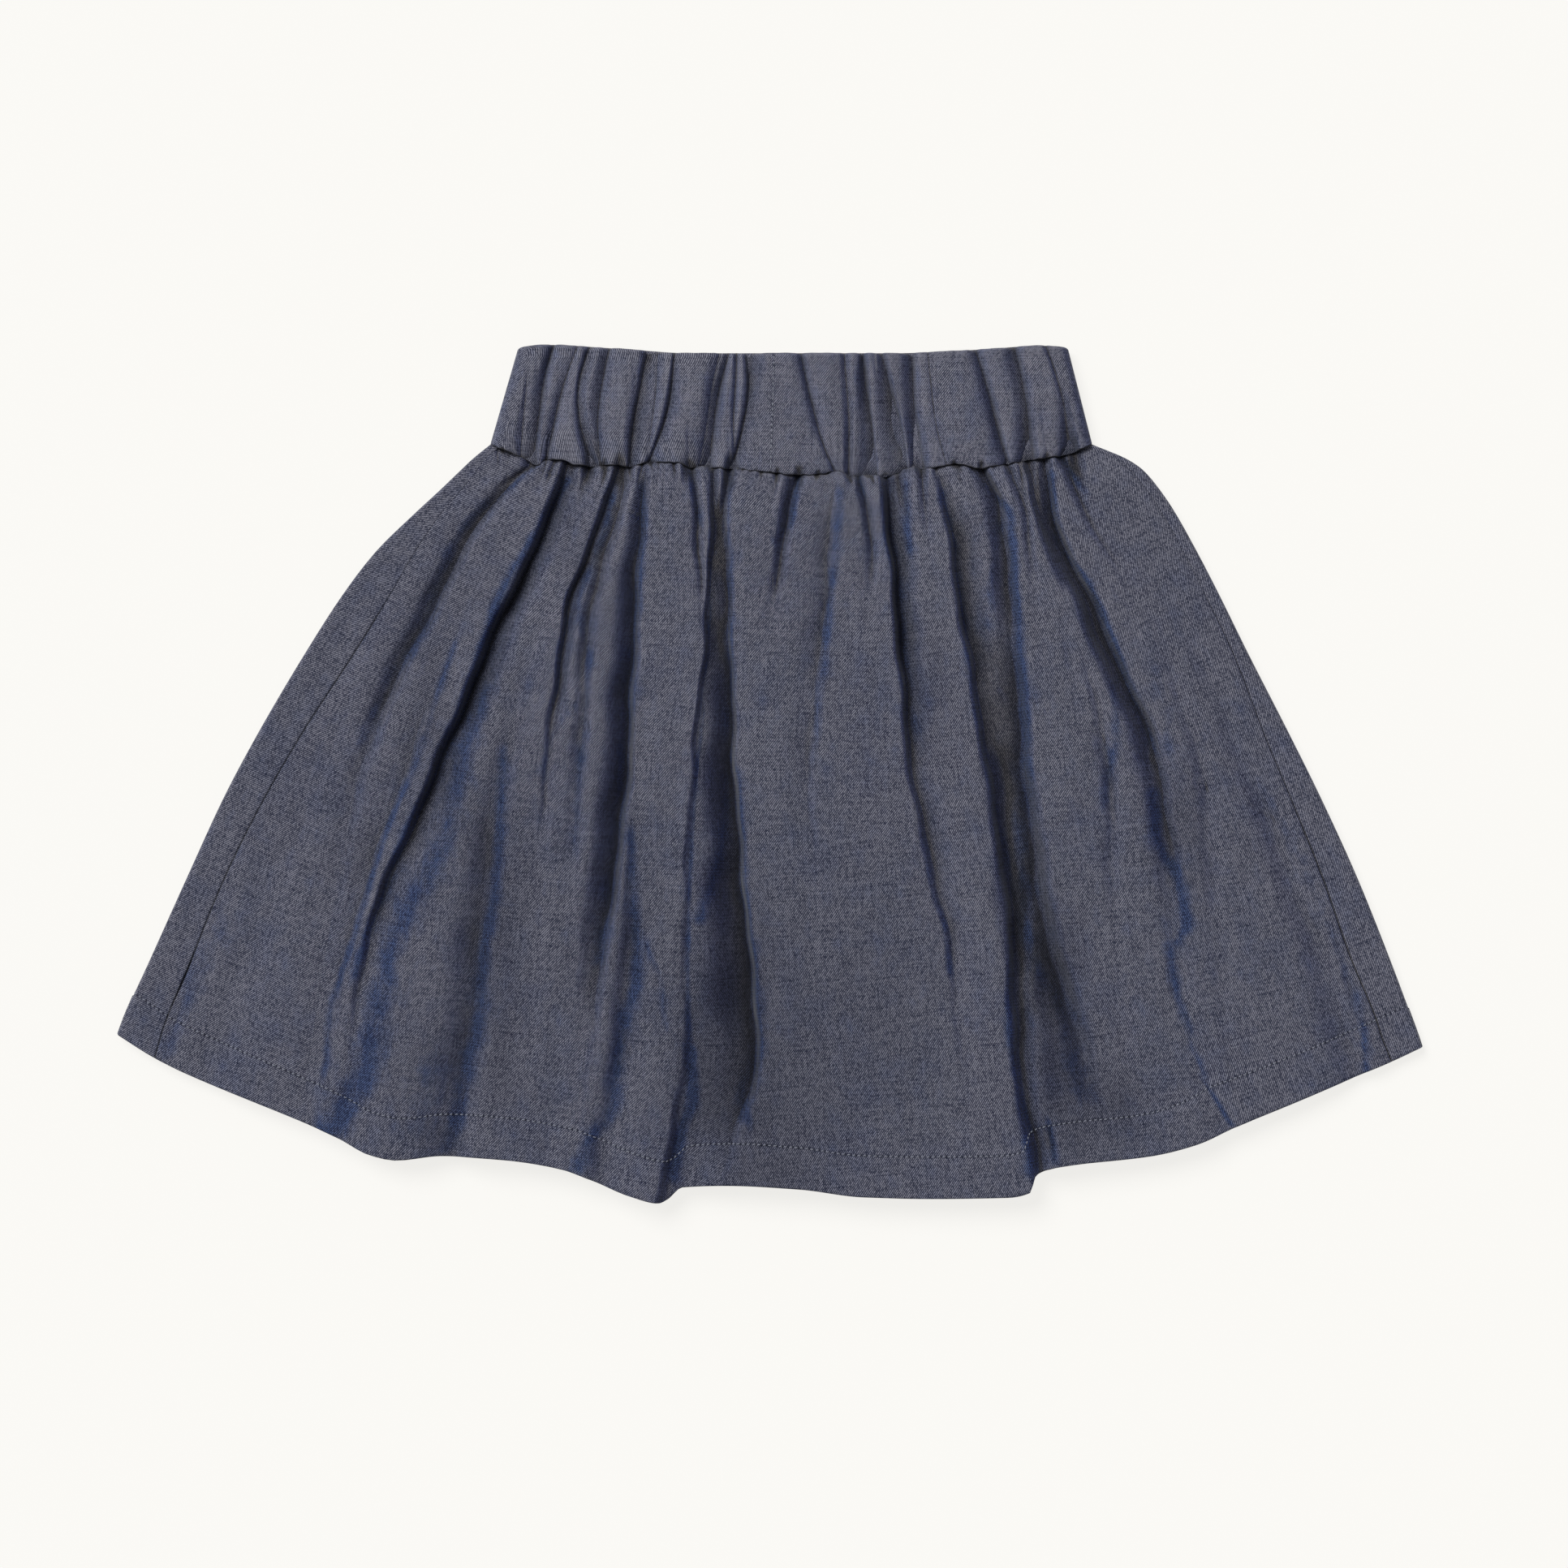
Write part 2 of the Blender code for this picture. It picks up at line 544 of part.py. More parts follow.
def make_waistband(collection, material):
    """A ring of casing over elastic, pressed flat, as sections of its wall all the way round."""
    half = BAND_THICKNESS / 2
    rows = []
    for station in band_stations():
        tall = band_point(station.part, 1.0)[1] - band_point(station.part, 0.0)[1]
        row = []
        for up, distance in band_section(tall):
            x, y = band_point(station.part, up)
            if distance > half - BAND_WALL:
                if station.facing == 1.0:
                    distance = distance - front_crease_depth(x, up)
                if station.back_crease:
                    distance = distance - BAND_BACK_DEPTH * side_fade(x, up, BAND_BACK_FADE)
            x, y = band_point(station.part, up, station.outward * distance)
            row.append((x, y, half + station.facing * distance))
        rows.append(row)
    mesh = loft("waistband", rows, closed=True)
    mesh.flip_normals()
    add_piece(collection, mesh, material)


def main():
    for old in list(bpy.data.objects):
        bpy.data.objects.remove(old)
    collection = bpy.data.collections.new("gathered_skirt")
    bpy.context.scene.collection.children.link(collection)
    make_front_panel(collection, cloth_material("front_cloth", CHAMBRAY))
    make_back_panel(collection, cloth_material("back_cloth", CHAMBRAY))
    make_waistband(collection, cloth_material("casing", CASING))


main()
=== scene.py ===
"""Looks of a child's gathered skirt in light twill, laid flat.

A front and a back panel are gathered onto a waistband, a casing over wide elastic. Each is a
thin sheet of cloth on the form of its solid, with its folds, gathers, turned hem and stitching.
Metres, +Z up, +Y towards the waist, origin under the middle.
"""

from collections import namedtuple
from functools import partial

import bpy
import numpy as np
from bpy.props import FloatProperty, FloatVectorProperty, PointerProperty
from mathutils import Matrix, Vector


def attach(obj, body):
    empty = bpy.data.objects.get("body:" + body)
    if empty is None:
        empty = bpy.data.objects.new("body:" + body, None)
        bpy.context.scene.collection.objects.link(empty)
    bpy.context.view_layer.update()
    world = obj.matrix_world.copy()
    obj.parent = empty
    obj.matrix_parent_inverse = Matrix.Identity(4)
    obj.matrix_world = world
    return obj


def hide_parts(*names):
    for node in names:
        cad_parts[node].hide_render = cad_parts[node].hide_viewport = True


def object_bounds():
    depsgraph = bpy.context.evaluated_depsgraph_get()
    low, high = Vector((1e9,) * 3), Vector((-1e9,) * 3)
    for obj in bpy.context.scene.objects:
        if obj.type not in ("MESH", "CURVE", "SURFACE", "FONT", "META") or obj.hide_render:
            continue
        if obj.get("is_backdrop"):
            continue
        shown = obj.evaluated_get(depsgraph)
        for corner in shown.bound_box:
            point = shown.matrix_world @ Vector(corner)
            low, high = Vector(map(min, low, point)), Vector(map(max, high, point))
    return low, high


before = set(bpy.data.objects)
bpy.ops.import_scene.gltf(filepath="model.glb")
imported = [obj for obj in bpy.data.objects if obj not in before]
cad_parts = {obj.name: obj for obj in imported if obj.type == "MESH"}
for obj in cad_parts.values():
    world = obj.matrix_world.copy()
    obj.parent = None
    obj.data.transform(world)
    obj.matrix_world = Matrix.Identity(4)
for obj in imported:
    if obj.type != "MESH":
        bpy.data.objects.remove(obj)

bl_info = {
    "name": "Gathered Skirt",
    "version": (1, 0, 0),
    "blender": (4, 5, 0),
    "location": "View3D > Sidebar > Skirt",
    "description": "Builds a gathered twill skirt, laid flat, with its stitching and its studio",
    "category": "Object",
}

CAD_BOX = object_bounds()
MM = 0.001
TURN = 2 * np.pi


def metres(rows):
    """Rows of millimetres as an array in metres."""
    return np.array(rows) * MM


# The front's outer surface: heights above the table, and how full the swell between its sides is
SEAM_TOP = 6.6 * MM
EDGE_TOP = 4.6 * MM
LOWEST_TROUGH = 3.4 * MM
TROUGH_SOFTNESS = 0.5 * MM
CROWN_POWER = 3.2
BLUNT_TURN = 1.6  # how sharply every fold turns at the waist seam
SHARPENING = 40 * MM  # how far down the folds reach their own sharpness

# Seams and hems
SEAM_GAP = 0.10 * MM  # between the panels and the band
SIDE_GAP = 0.06 * MM  # between the two panels at a side seam
SEAM_TUCK = 0.5 * MM  # how far the panels run in under the band
TUCK_REACH = SEAM_TUCK + 0.3 * MM  # how far below the seam the cloth dips towards it
TUCK_SHADE = SEAM_TUCK + 0.2 * MM  # how far its shade reaches
FRONT_DIP = 0.9 * MM
BACK_DIP = 0.7 * MM
SIDE_GROOVE = 0.2 * MM  # depth of a side seam
SIDE_GROOVE_HALF = 0.4 * MM
SIDE_SHADE_HALF = 0.35 * MM
SIDES_SHOW_FROM = 70 * MM  # the height below which a side seam begins to show
FRONT_SHADES = (0.35, 0.4)  # how much painted shade lies at the waist seam and at the side seams, where the band and the seams shade the cloth
BACK_SHADES = (0.5, 0.3)
HEM_STEP = 0.3 * MM  # how far the layer that is turned up lifts the cloth
HEM_FURROW = 0.28 * MM  # how far the stitching pulls it down
HEM_FURROW_HALF = 0.55 * MM
BACK_FURROW_HALF = 0.7 * MM
BACK_ROLL = 0.45 * MM  # radius of the back's roll at the hem

# Unevenness of the cloth
RIPPLE_START = 20 * MM  # how far down the ripples reach their full height
RIPPLE_HEIGHT = 0.32 * MM
BACK_RIPPLE = 0.12 * MM
BAND_RIPPLE = 0.15 * MM
PUCKER_HEIGHT = 0.45 * MM
PUCKER_REACH = 9 * MM
BACK_PUCKER = 0.25 * MM
BACK_PUCKER_REACH = 8 * MM

# How each fold changes on its way down: its size, how fast it goes and how far folds are out of step.
# The swells are a share of the depth, the sways millimetres to the side
SWELLS = (0.12, 180, 3.1)
SWAYS = ((0.5, 146, 2.4), (0.35, 299, 1.7))

# The waistband
BAND_HALF = 3.8 * MM  # half its thickness, front and back together
BAND_WALL = 2.9 * MM
BAND_ROUND = 1.3 * MM
SEAM_ROUND = 0.3 * MM
BAND_TALL = 39.5 * MM
FINE_CREASES = 34
FINE_REACHES = (0.30, 0.65)  # as a share of the band's height
FINE_DEPTHS = (0.10 * MM, 0.35 * MM)
FINE_HALF = 0.9 * MM
PUFF_HEIGHT = 0.8 * MM
PUFF_HALF = 3.5 * MM
PUFF_FULL = 8 * MM  # no puff is wider on either side
BACK_CREASE_DEPTH = 0.4 * MM
BAND_SEAM_PART = 0.4655  # where the quilting line crosses the band, as a share of its width

# The waist seam from left to right: x, y
WAIST_SEAM = metres((
    (-96.6, 114.3), (-83.9, 108.7), (-80.2, 107), (-76.8, 108.8), (-71.2, 108.7), (-68.1, 107.2),
    (-61.1, 106.5), (-53.2, 107), (-48.6, 106.4), (-44.1, 107.3), (-40.5, 108), (-32, 107.7),
    (-26.9, 106.1), (-19.9, 106), (-13.7, 105.7), (-3.5, 104.8), (10.6, 103.5), (14.2, 103.5),
    (24.5, 104.7), (27.8, 103), (40.2, 103), (47, 105), (51.5, 106.3), (53.5, 105.5), (65, 107.3),
    (72.6, 105.8), (82.8, 107.4), (92.4, 109), (102.2, 110.3), (112.1, 114.3),
))
WAIST_WIDTH = WAIST_SEAM[-1][0] - WAIST_SEAM[0][0]

# The band's top edge from left to right: x, y
BAND_TOP = metres((
    (-86.6, 147.8), (-78, 148.7), (-50, 147.2), (-27, 145.8), (43, 145.8), (72, 147), (95, 148.4),
    (103.3, 147.8),
))

# The hem as seen from above, from the left side fold to the right one: x, y
HEM = metres((
    (-226, -90.5), (-213.2, -98.5), (-198, -105.8), (-179.6, -113.2), (-164, -119.5), (-149, -126.2),
    (-138, -132), (-129, -133.8), (-114, -132.4), (-92, -133.6), (-72, -136.8), (-62, -140.4),
    (-48, -146.2), (-38, -148.6), (-35.2, -147.4), (-30, -143.2), (-14, -142.5), (11, -143.8),
    (32, -146.4), (56, -147), (83, -146.6), (90.2, -145), (92.5, -139), (100, -136.2), (133, -132.2),
    (148, -128.4), (162, -122.2), (183, -113.6), (204, -104.8), (216, -99.8), (226.4, -94.9),
))

# The back panel's hem, just inside the front one: x, y
BACK_HEM = metres((
    (-226, -90.5), (-213.2, -98.5), (-150, -122), (-100, -130), (-40, -137.5), (30, -140), (80, -137),
    (110, -131), (150, -122.5), (216, -99.8), (226.4, -94.9),
))

# The side folds and side seams down the skirt: y, then x of the lines in SIDE_NAMES
SIDES = metres((
    (114.3, -96.6, -92.2, 107.6, 112.1), (109, -103.1, -98.6, 120, 124.6),
    (105.3, -107, -101.2, 125.2, 129.9), (98.3, -114.3, -106.7, 131.1, 135.8),
    (91.2, -122, -112.9, 135.8, 140.6), (77.1, -136.4, -122.5, 143.6, 148.5),
    (63, -147.3, -130.7, 150.8, 155.8), (41.9, -160.9, -143.7, 161, 166.2),
    (13.7, -177.5, -162, 171.8, 180.6), (-7.5, -188.8, -174.4, 180.6, 191.1),
    (-35.7, -201.8, -188.5, 191.9, 204), (-63.9, -214.5, -200.1, 201.8, 215.3),
    (-85, -224, -208.8, 210.5, 223.2), (-90.5, -226, -210.6, 212.2, 225.2),
    (-99, -229.2, -213, 215.6, 228),
))
SIDE_NAMES = ("left_fold", "left_seam", "right_seam", "right_fold")
SIDE_LINES = {name: SIDES[:, (0, column)] for column, name in enumerate(SIDE_NAMES, 1)}

# The swell of the front panel: share of the way down, height of the cloth's outer surface
CROWN = (
    (0.0, SEAM_TOP + 0.7 * MM), (0.010, 8.7 * MM), (0.035, 10.1 * MM), (0.10, 11.4 * MM),
    (0.30, 12.6 * MM), (0.60, 13.0 * MM), (1.0, 11.2 * MM),
)

# Folds of the front panel, from left to right: where each trough runs and how deep it is at the
# heights in LEVELS, and on each side of it how wide the flank is at the waist and at the hem, and
# how sharply it turns. In millimetres, apart from LEVELS
LEVELS = (0.108, 0.090, 0.056, 0.0, -0.060, -0.095, -0.130)
Fold = namedtuple("Fold", "name x depth left right turns")
FOLDS = [Fold(*row) for row in (
    ("left_side", (-96, -107, -123.9, -156.1, -178.9, -191.1, -200.1),
     (0, 0.3, 0.4, 0.5, 1, 1.3, 1.6), (3, 7), (3, 7), (2.2, 2.2)),
    ("left_hip", (-82.5, -98.6, -118, -142.3, -153, -158.6, -163.4),
     (1.3, 3.4, 4.6, 1.8, 0.6, 0.4, 0.3), (3.6, 5.6), (2, 3.6), (1.8, 2.8)),
    ("left_streak", (-75.4, -86.7, -105.6, -126.8, -146.8, -154.4, -159.5),
     (0, 0, 0.3, 1.5, 1.6, 1.2, 0.6), (4, 7), (1.4, 2.4), (1.6, 2.8)),
    ("left_deep", (-69.2, -75.2, -91.2, -114.6, -138, -143.1, -147.6),
     (2.9, 6, 7.2, 5.2, 2.2, 0.8, 0.4), (1.6, 2.6), (3.8, 8.6), (3.2, 1.8)),
    ("left_middle", (-62.2, -66.4, -77.7, -92.4, -101.4, -105, -110.4),
     (2.2, 0.8, 0.3, 1.8, 3.6, 3.6, 2.8), (2, 8), (2, 6), (2, 2.4)),
    ("left_branch", (-51.2, -57.4, -68.9, -76.6, -82.5, -86.7, -92.4),
     (2.7, 3.6, 3.2, 1, 0, 0, 0), (1.2, 1.8), (2.4, 4), (3.4, 1.8)),
    ("left_gather", (-47.8, -52.3, -61.9, -65.8, -69.8, -72.6, -75.4),
     (1.3, 2.6, 2.2, 1.4, 0.5, 0.5, 0.6), (2.4, 4.4), (1.8, 3.2), (2, 2.4)),
    ("left_inner", (-42.7, -44.4, -47, -50.1, -58.2, -63.6, -68.4),
     (1.76, 3.36, 4.64, 6.72, 3.52, 1.12, 0.32), (2.8, 8.6), (1.4, 3), (1.9, 3.4)),
    ("left_soft", (-36, -36.5, -38.5, -44.4, -47.5, -50.6, -56.3),
     (0.6, 0.3, 0.2, 0.6, 2.2, 2.4, 2), (1.8, 4.6), (2, 7), (2.4, 1.7)),
    ("centre_nip", (-26.6, -24.7, -23.3, -28.1, -30.9, -31.4, -37.1),
     (2.2, 2.2, 0.5, 0, 0, 0, 0), (1.2, 2), (1.2, 2), (2.2, 2.2)),
    ("centre_pinch", (-19.3, -19, -19.9, -24.4, -26.9, -25.8, -31.4),
     (2.1, 2.8, 2.6, 1.5, 1, 1.2, 2.8), (1.1, 3.8), (1.4, 14), (3.4, 2.2)),
    ("centre_deep", (-13.1, -15.4, -14.2, -12.5, -7.8, -4.9, -14.2),
     (2.5, 2.9, 4, 8.2, 9.2, 6.4, 1.5), (1.2, 15), (0.9, 1.8), (2.2, 3.4)),
    ("centre_tuck", (0.4, 0.4, 0.1, -2.1, 1, 3.5, 5.2),
     (1, 0.3, 0, 0, 0, 0, 0), (1.7, 3.4), (1.7, 3.4), (2.2, 2.2)),
    ("centre_dent", (10.9, 6.6, 2.1, 4.1, 7.8, 10.6, 12.5),
     (2.7, 3.4, 0.5, 0, 0, 0, 0), (1.9, 3.8), (1.5, 3.4), (2.2, 2.6)),
    ("centre_soft", (24.4, 21.3, 19, 13.1, 16.5, 21, 25),
     (0.4, 1.5, 1.9, 1.3, 0.4, 0.3, 0.3), (4.4, 7), (1.6, 2.4), (1.6, 2.8)),
    ("right_nip", (28.9, 34, 36.5, 36.8, 40.2, 43, 45.8),
     (2.2, 2.2, 0.2, 0, 0, 0, 0), (1.6, 3), (1.4, 3), (2.2, 2.2)),
    ("right_inner", (40.7, 41.9, 45.3, 50.6, 63.3, 67, 69.8),
     (3, 5.8, 6.6, 3, 1.6, 0.5, 0), (1.4, 2.2), (3.6, 7), (3.4, 1.9)),
    ("right_tuck", (52.3, 54, 57.7, 62.7, 71.2, 74.3, 77.4),
     (1.6, 0.8, 0, 0, 0, 0, 0), (1.3, 3), (1.3, 3), (2.2, 2.2)),
    ("right_short", (58, 62.2, 67.8, 77.4, 85.6, 87, 92.9),
     (0.74, 2.95, 4.59, 4.26, 5.41, 3.77, 3.28), (1.4, 2.6), (9, 2.5), (3.2, 3)),
    ("right_deep", (72.9, 80.2, 83, 87.2, 95.5, 106.2, 110),
     (1.9, 4.2, 3.4, 6.4, 7.2, 4.2, 0.6), (3.5, 14), (1.4, 6), (2.4, 2.8)),
    ("right_pinch", (82.5, 88.7, 92.6, 96.6, 105, 112.1, 115.8),
     (2.1, 1.4, 0.3, 0, 0, 0, 0), (1.5, 3), (1.5, 3), (2.2, 2.2)),
    ("right_branch", (90.1, 93.8, 104.5, 117.5, 120.3, 124.2, 128.2),
     (2.4, 1.6, 0.3, 1.3, 0.4, 0.3, 0.2), (1.5, 3.2), (1.5, 3.2), (2.2, 2.2)),
    ("right_middle", (95.5, 98.3, 112.7, 134.9, 142.3, 146.8, 162.6),
     (2.9, 6.2, 7.4, 3.8, 1, 0.6, 1), (4, 6), (0.9, 3.6), (2.4, 2.4)),
    ("right_hip", (102.8, 109.8, 129.9, 150.2, 155.8, 160, 173.3),
     (2.2, 1.4, 0.3, 1, 0.5, 0.3, 0.3), (1.6, 4), (1.6, 4), (2.2, 2.2)),
    ("right_side", (112.1, 125.9, 144, 167.1, 190.2, 200.9, 212.2),
     (0, 0, 0.2, 0.8, 1.6, 2, 2.2), (3, 6), (2.4, 3.6), (2.2, 2.2)),
)]

# Folds that end a stretch of straight grain, so the weave starts again on the other side
GRAIN_FOLDS = (
    "left_hip", "left_deep", "left_inner", "centre_pinch", "centre_deep", "right_inner", "right_deep",
    "right_middle",
)

# Short gathers and creases of the front panel: x, y of both ends, depth and half width
CREASES = metres((
    (-74.5, 107.5, -77.5, 99, 1.2, 1.1), (-56, 106, -58.5, 96.5, 1.6, 1),
    (-50, 106, -50.5, 98.5, 1.4, 0.8), (-38.2, 107, -38.5, 98, 0.8, 1), (7, 103, 7.8, 97.5, 0.7, 0.9),
    (20, 103.5, 19.6, 96, 0.7, 1), (45, 103.5, 48.4, 86, 1.8, 1.2), (66, 106.5, 66.8, 98.5, 1.1, 0.9),
    (74.5, 104.5, 81.5, 92.5, 2.4, 0.9), (86.8, 107, 88.5, 96, 1.4, 0.9),
    (106, 111, 109.8, 96, 1.5, 1.2), (-200.5, -61, -208.2, -98.5, 1.3, 2.2),
    (199.5, -65, 207.5, -100, 1.2, 2), (96.2, -121.5, 99.3, -136.5, 2.6, 1.3),
    (30.9, -89, 29, -111, 0.5, 2.4), (29, -111, 31.2, -144, 0.6, 2), (102.5, 49, 106, 28, 0.7, 1.4),
    (133, 25, 139, 12, 0.5, 3), (137.8, 15, 137.8, -8, 0.9, 1.8), (-125.6, 25.8, -129, 19, 0.7, 1.6),
    (-87, -124, -87.2, -133, 0.3, 1.4), (-115, 94, -111.8, 90.2, 1, 0.6),
    (-81.7, 106.9, -94.6, 98.9, 1.3, 0.7), (-85, 108, -95.5, 113, 0.6, 0.5),
    (12, -70, 10, -142, 0.25, 3), (56, -20, 60, -120, 0.25, 3), (170, 0, 181, -40, 0.7, 4),
    (-33, 60, -35, -30, 0.25, 2.4), (-170, 0, -183, -70, 0.4, 5),
))

# Creases and pleats of the casing on the band's front: x of the line at the top edge, at the middle
# and at the seam; then, at the top edge and at the seam, its depth and how wide its left and right
# flanks are; then how sharply each flank turns. In millimetres
BandCrease = namedtuple("BandCrease", "x depth left right turns")
BAND_CREASES = [BandCrease(*row) for row in (
    ((-82.5, -84.5, -85.9), (0.1, 0.5), (1.8, 1.8), (1.8, 1.8), (2, 2)),
    ((-74.6, -79.1, -81.1), (0.9, 1.4), (0.8, 4.4), (0.6, 0.7), (1.6, 2.4)),
    ((-66.4, -72.6, -76.8), (0.3, 1.1), (2.2, 2.6), (0.7, 0.7), (1.6, 2.4)),
    ((-62.2, -66.1, -61.1), (0.7, 1.1), (0.5, 0.5), (2.2, 3), (2.4, 2)),
    ((-55.1, -58.8, -58.2), (1, 0.6), (2.2, 3), (0.6, 0.7), (2, 2.4)),
    ((-41.9, -46.1, -48.4), (1.4, 1.2), (0.6, 0.6), (4.8, 2.6), (2.4, 2.4)),
    ((-38.2, -39.9, -42.2), (0.3, 0.2), (1.4, 1.4), (1.4, 1.4), (2, 2)),
    ((-32.9, -35.1, -41.6), (0.9, 1.1), (0.5, 0.5), (1.4, 2.2), (2.4, 1.6)),
    ((-17.3, -21, -24.1), (0.5, 0.2), (1.8, 1.8), (1.4, 1.4), (2, 2)),
    ((-14, -18.2, -20.7), (0.9, 1.5), (1.8, 3), (0.5, 0.5), (1.5, 2.4)),
    ((-11.1, -12, -12.5), (0.8, 0), (0.8, 0.8), (0.8, 0.8), (2, 2)),
    ((-7.5, -8, -13.4), (1.4, 1), (0.5, 0.5), (3.2, 2.2), (2.4, 1.8)),
    ((11.4, 15.7, 22.7), (0.9, 0.4), (1.4, 0.8), (0.5, 0.6), (1.6, 2.4)),
    ((26.1, 27.5, 27.8), (0.5, 0.8), (1.4, 1.4), (1.4, 1.4), (2.4, 2.4)),
    ((32.3, 35.1, 37.1), (1.1, 1.7), (0.8, 6.2), (0.5, 0.6), (2.4, 2.4)),
    ((38.8, 44.1, 47.8), (1.1, 1.8), (1.4, 10.3), (0.5, 0.6), (2.4, 2.4)),
    ((49.5, 50.6, 52.9), (1.2, 1.7), (2.6, 3.6), (0.6, 0.6), (2.4, 2.4)),
    ((55.1, 57.1, 61.3), (0.3, 0.1), (2.2, 2.2), (2.2, 2.2), (2, 2)),
    ((71.8, 77.4, 82.8), (1, 1.2), (1.8, 2.2), (0.5, 0.5), (1.8, 2.4)),
    ((85.3, 89, 90.9), (1, 1.5), (3, 4), (0.6, 0.7), (2.4, 2.4)),
    ((95.7, 101.7, 102.8), (0.5, 0.3), (0.8, 0.8), (0.6, 0.6), (2, 2.4)),
    ((101.1, 105.3, 107), (1.2, 1.7), (1.4, 4.8), (0.6, 0.6), (2.4, 2.4)),
)]
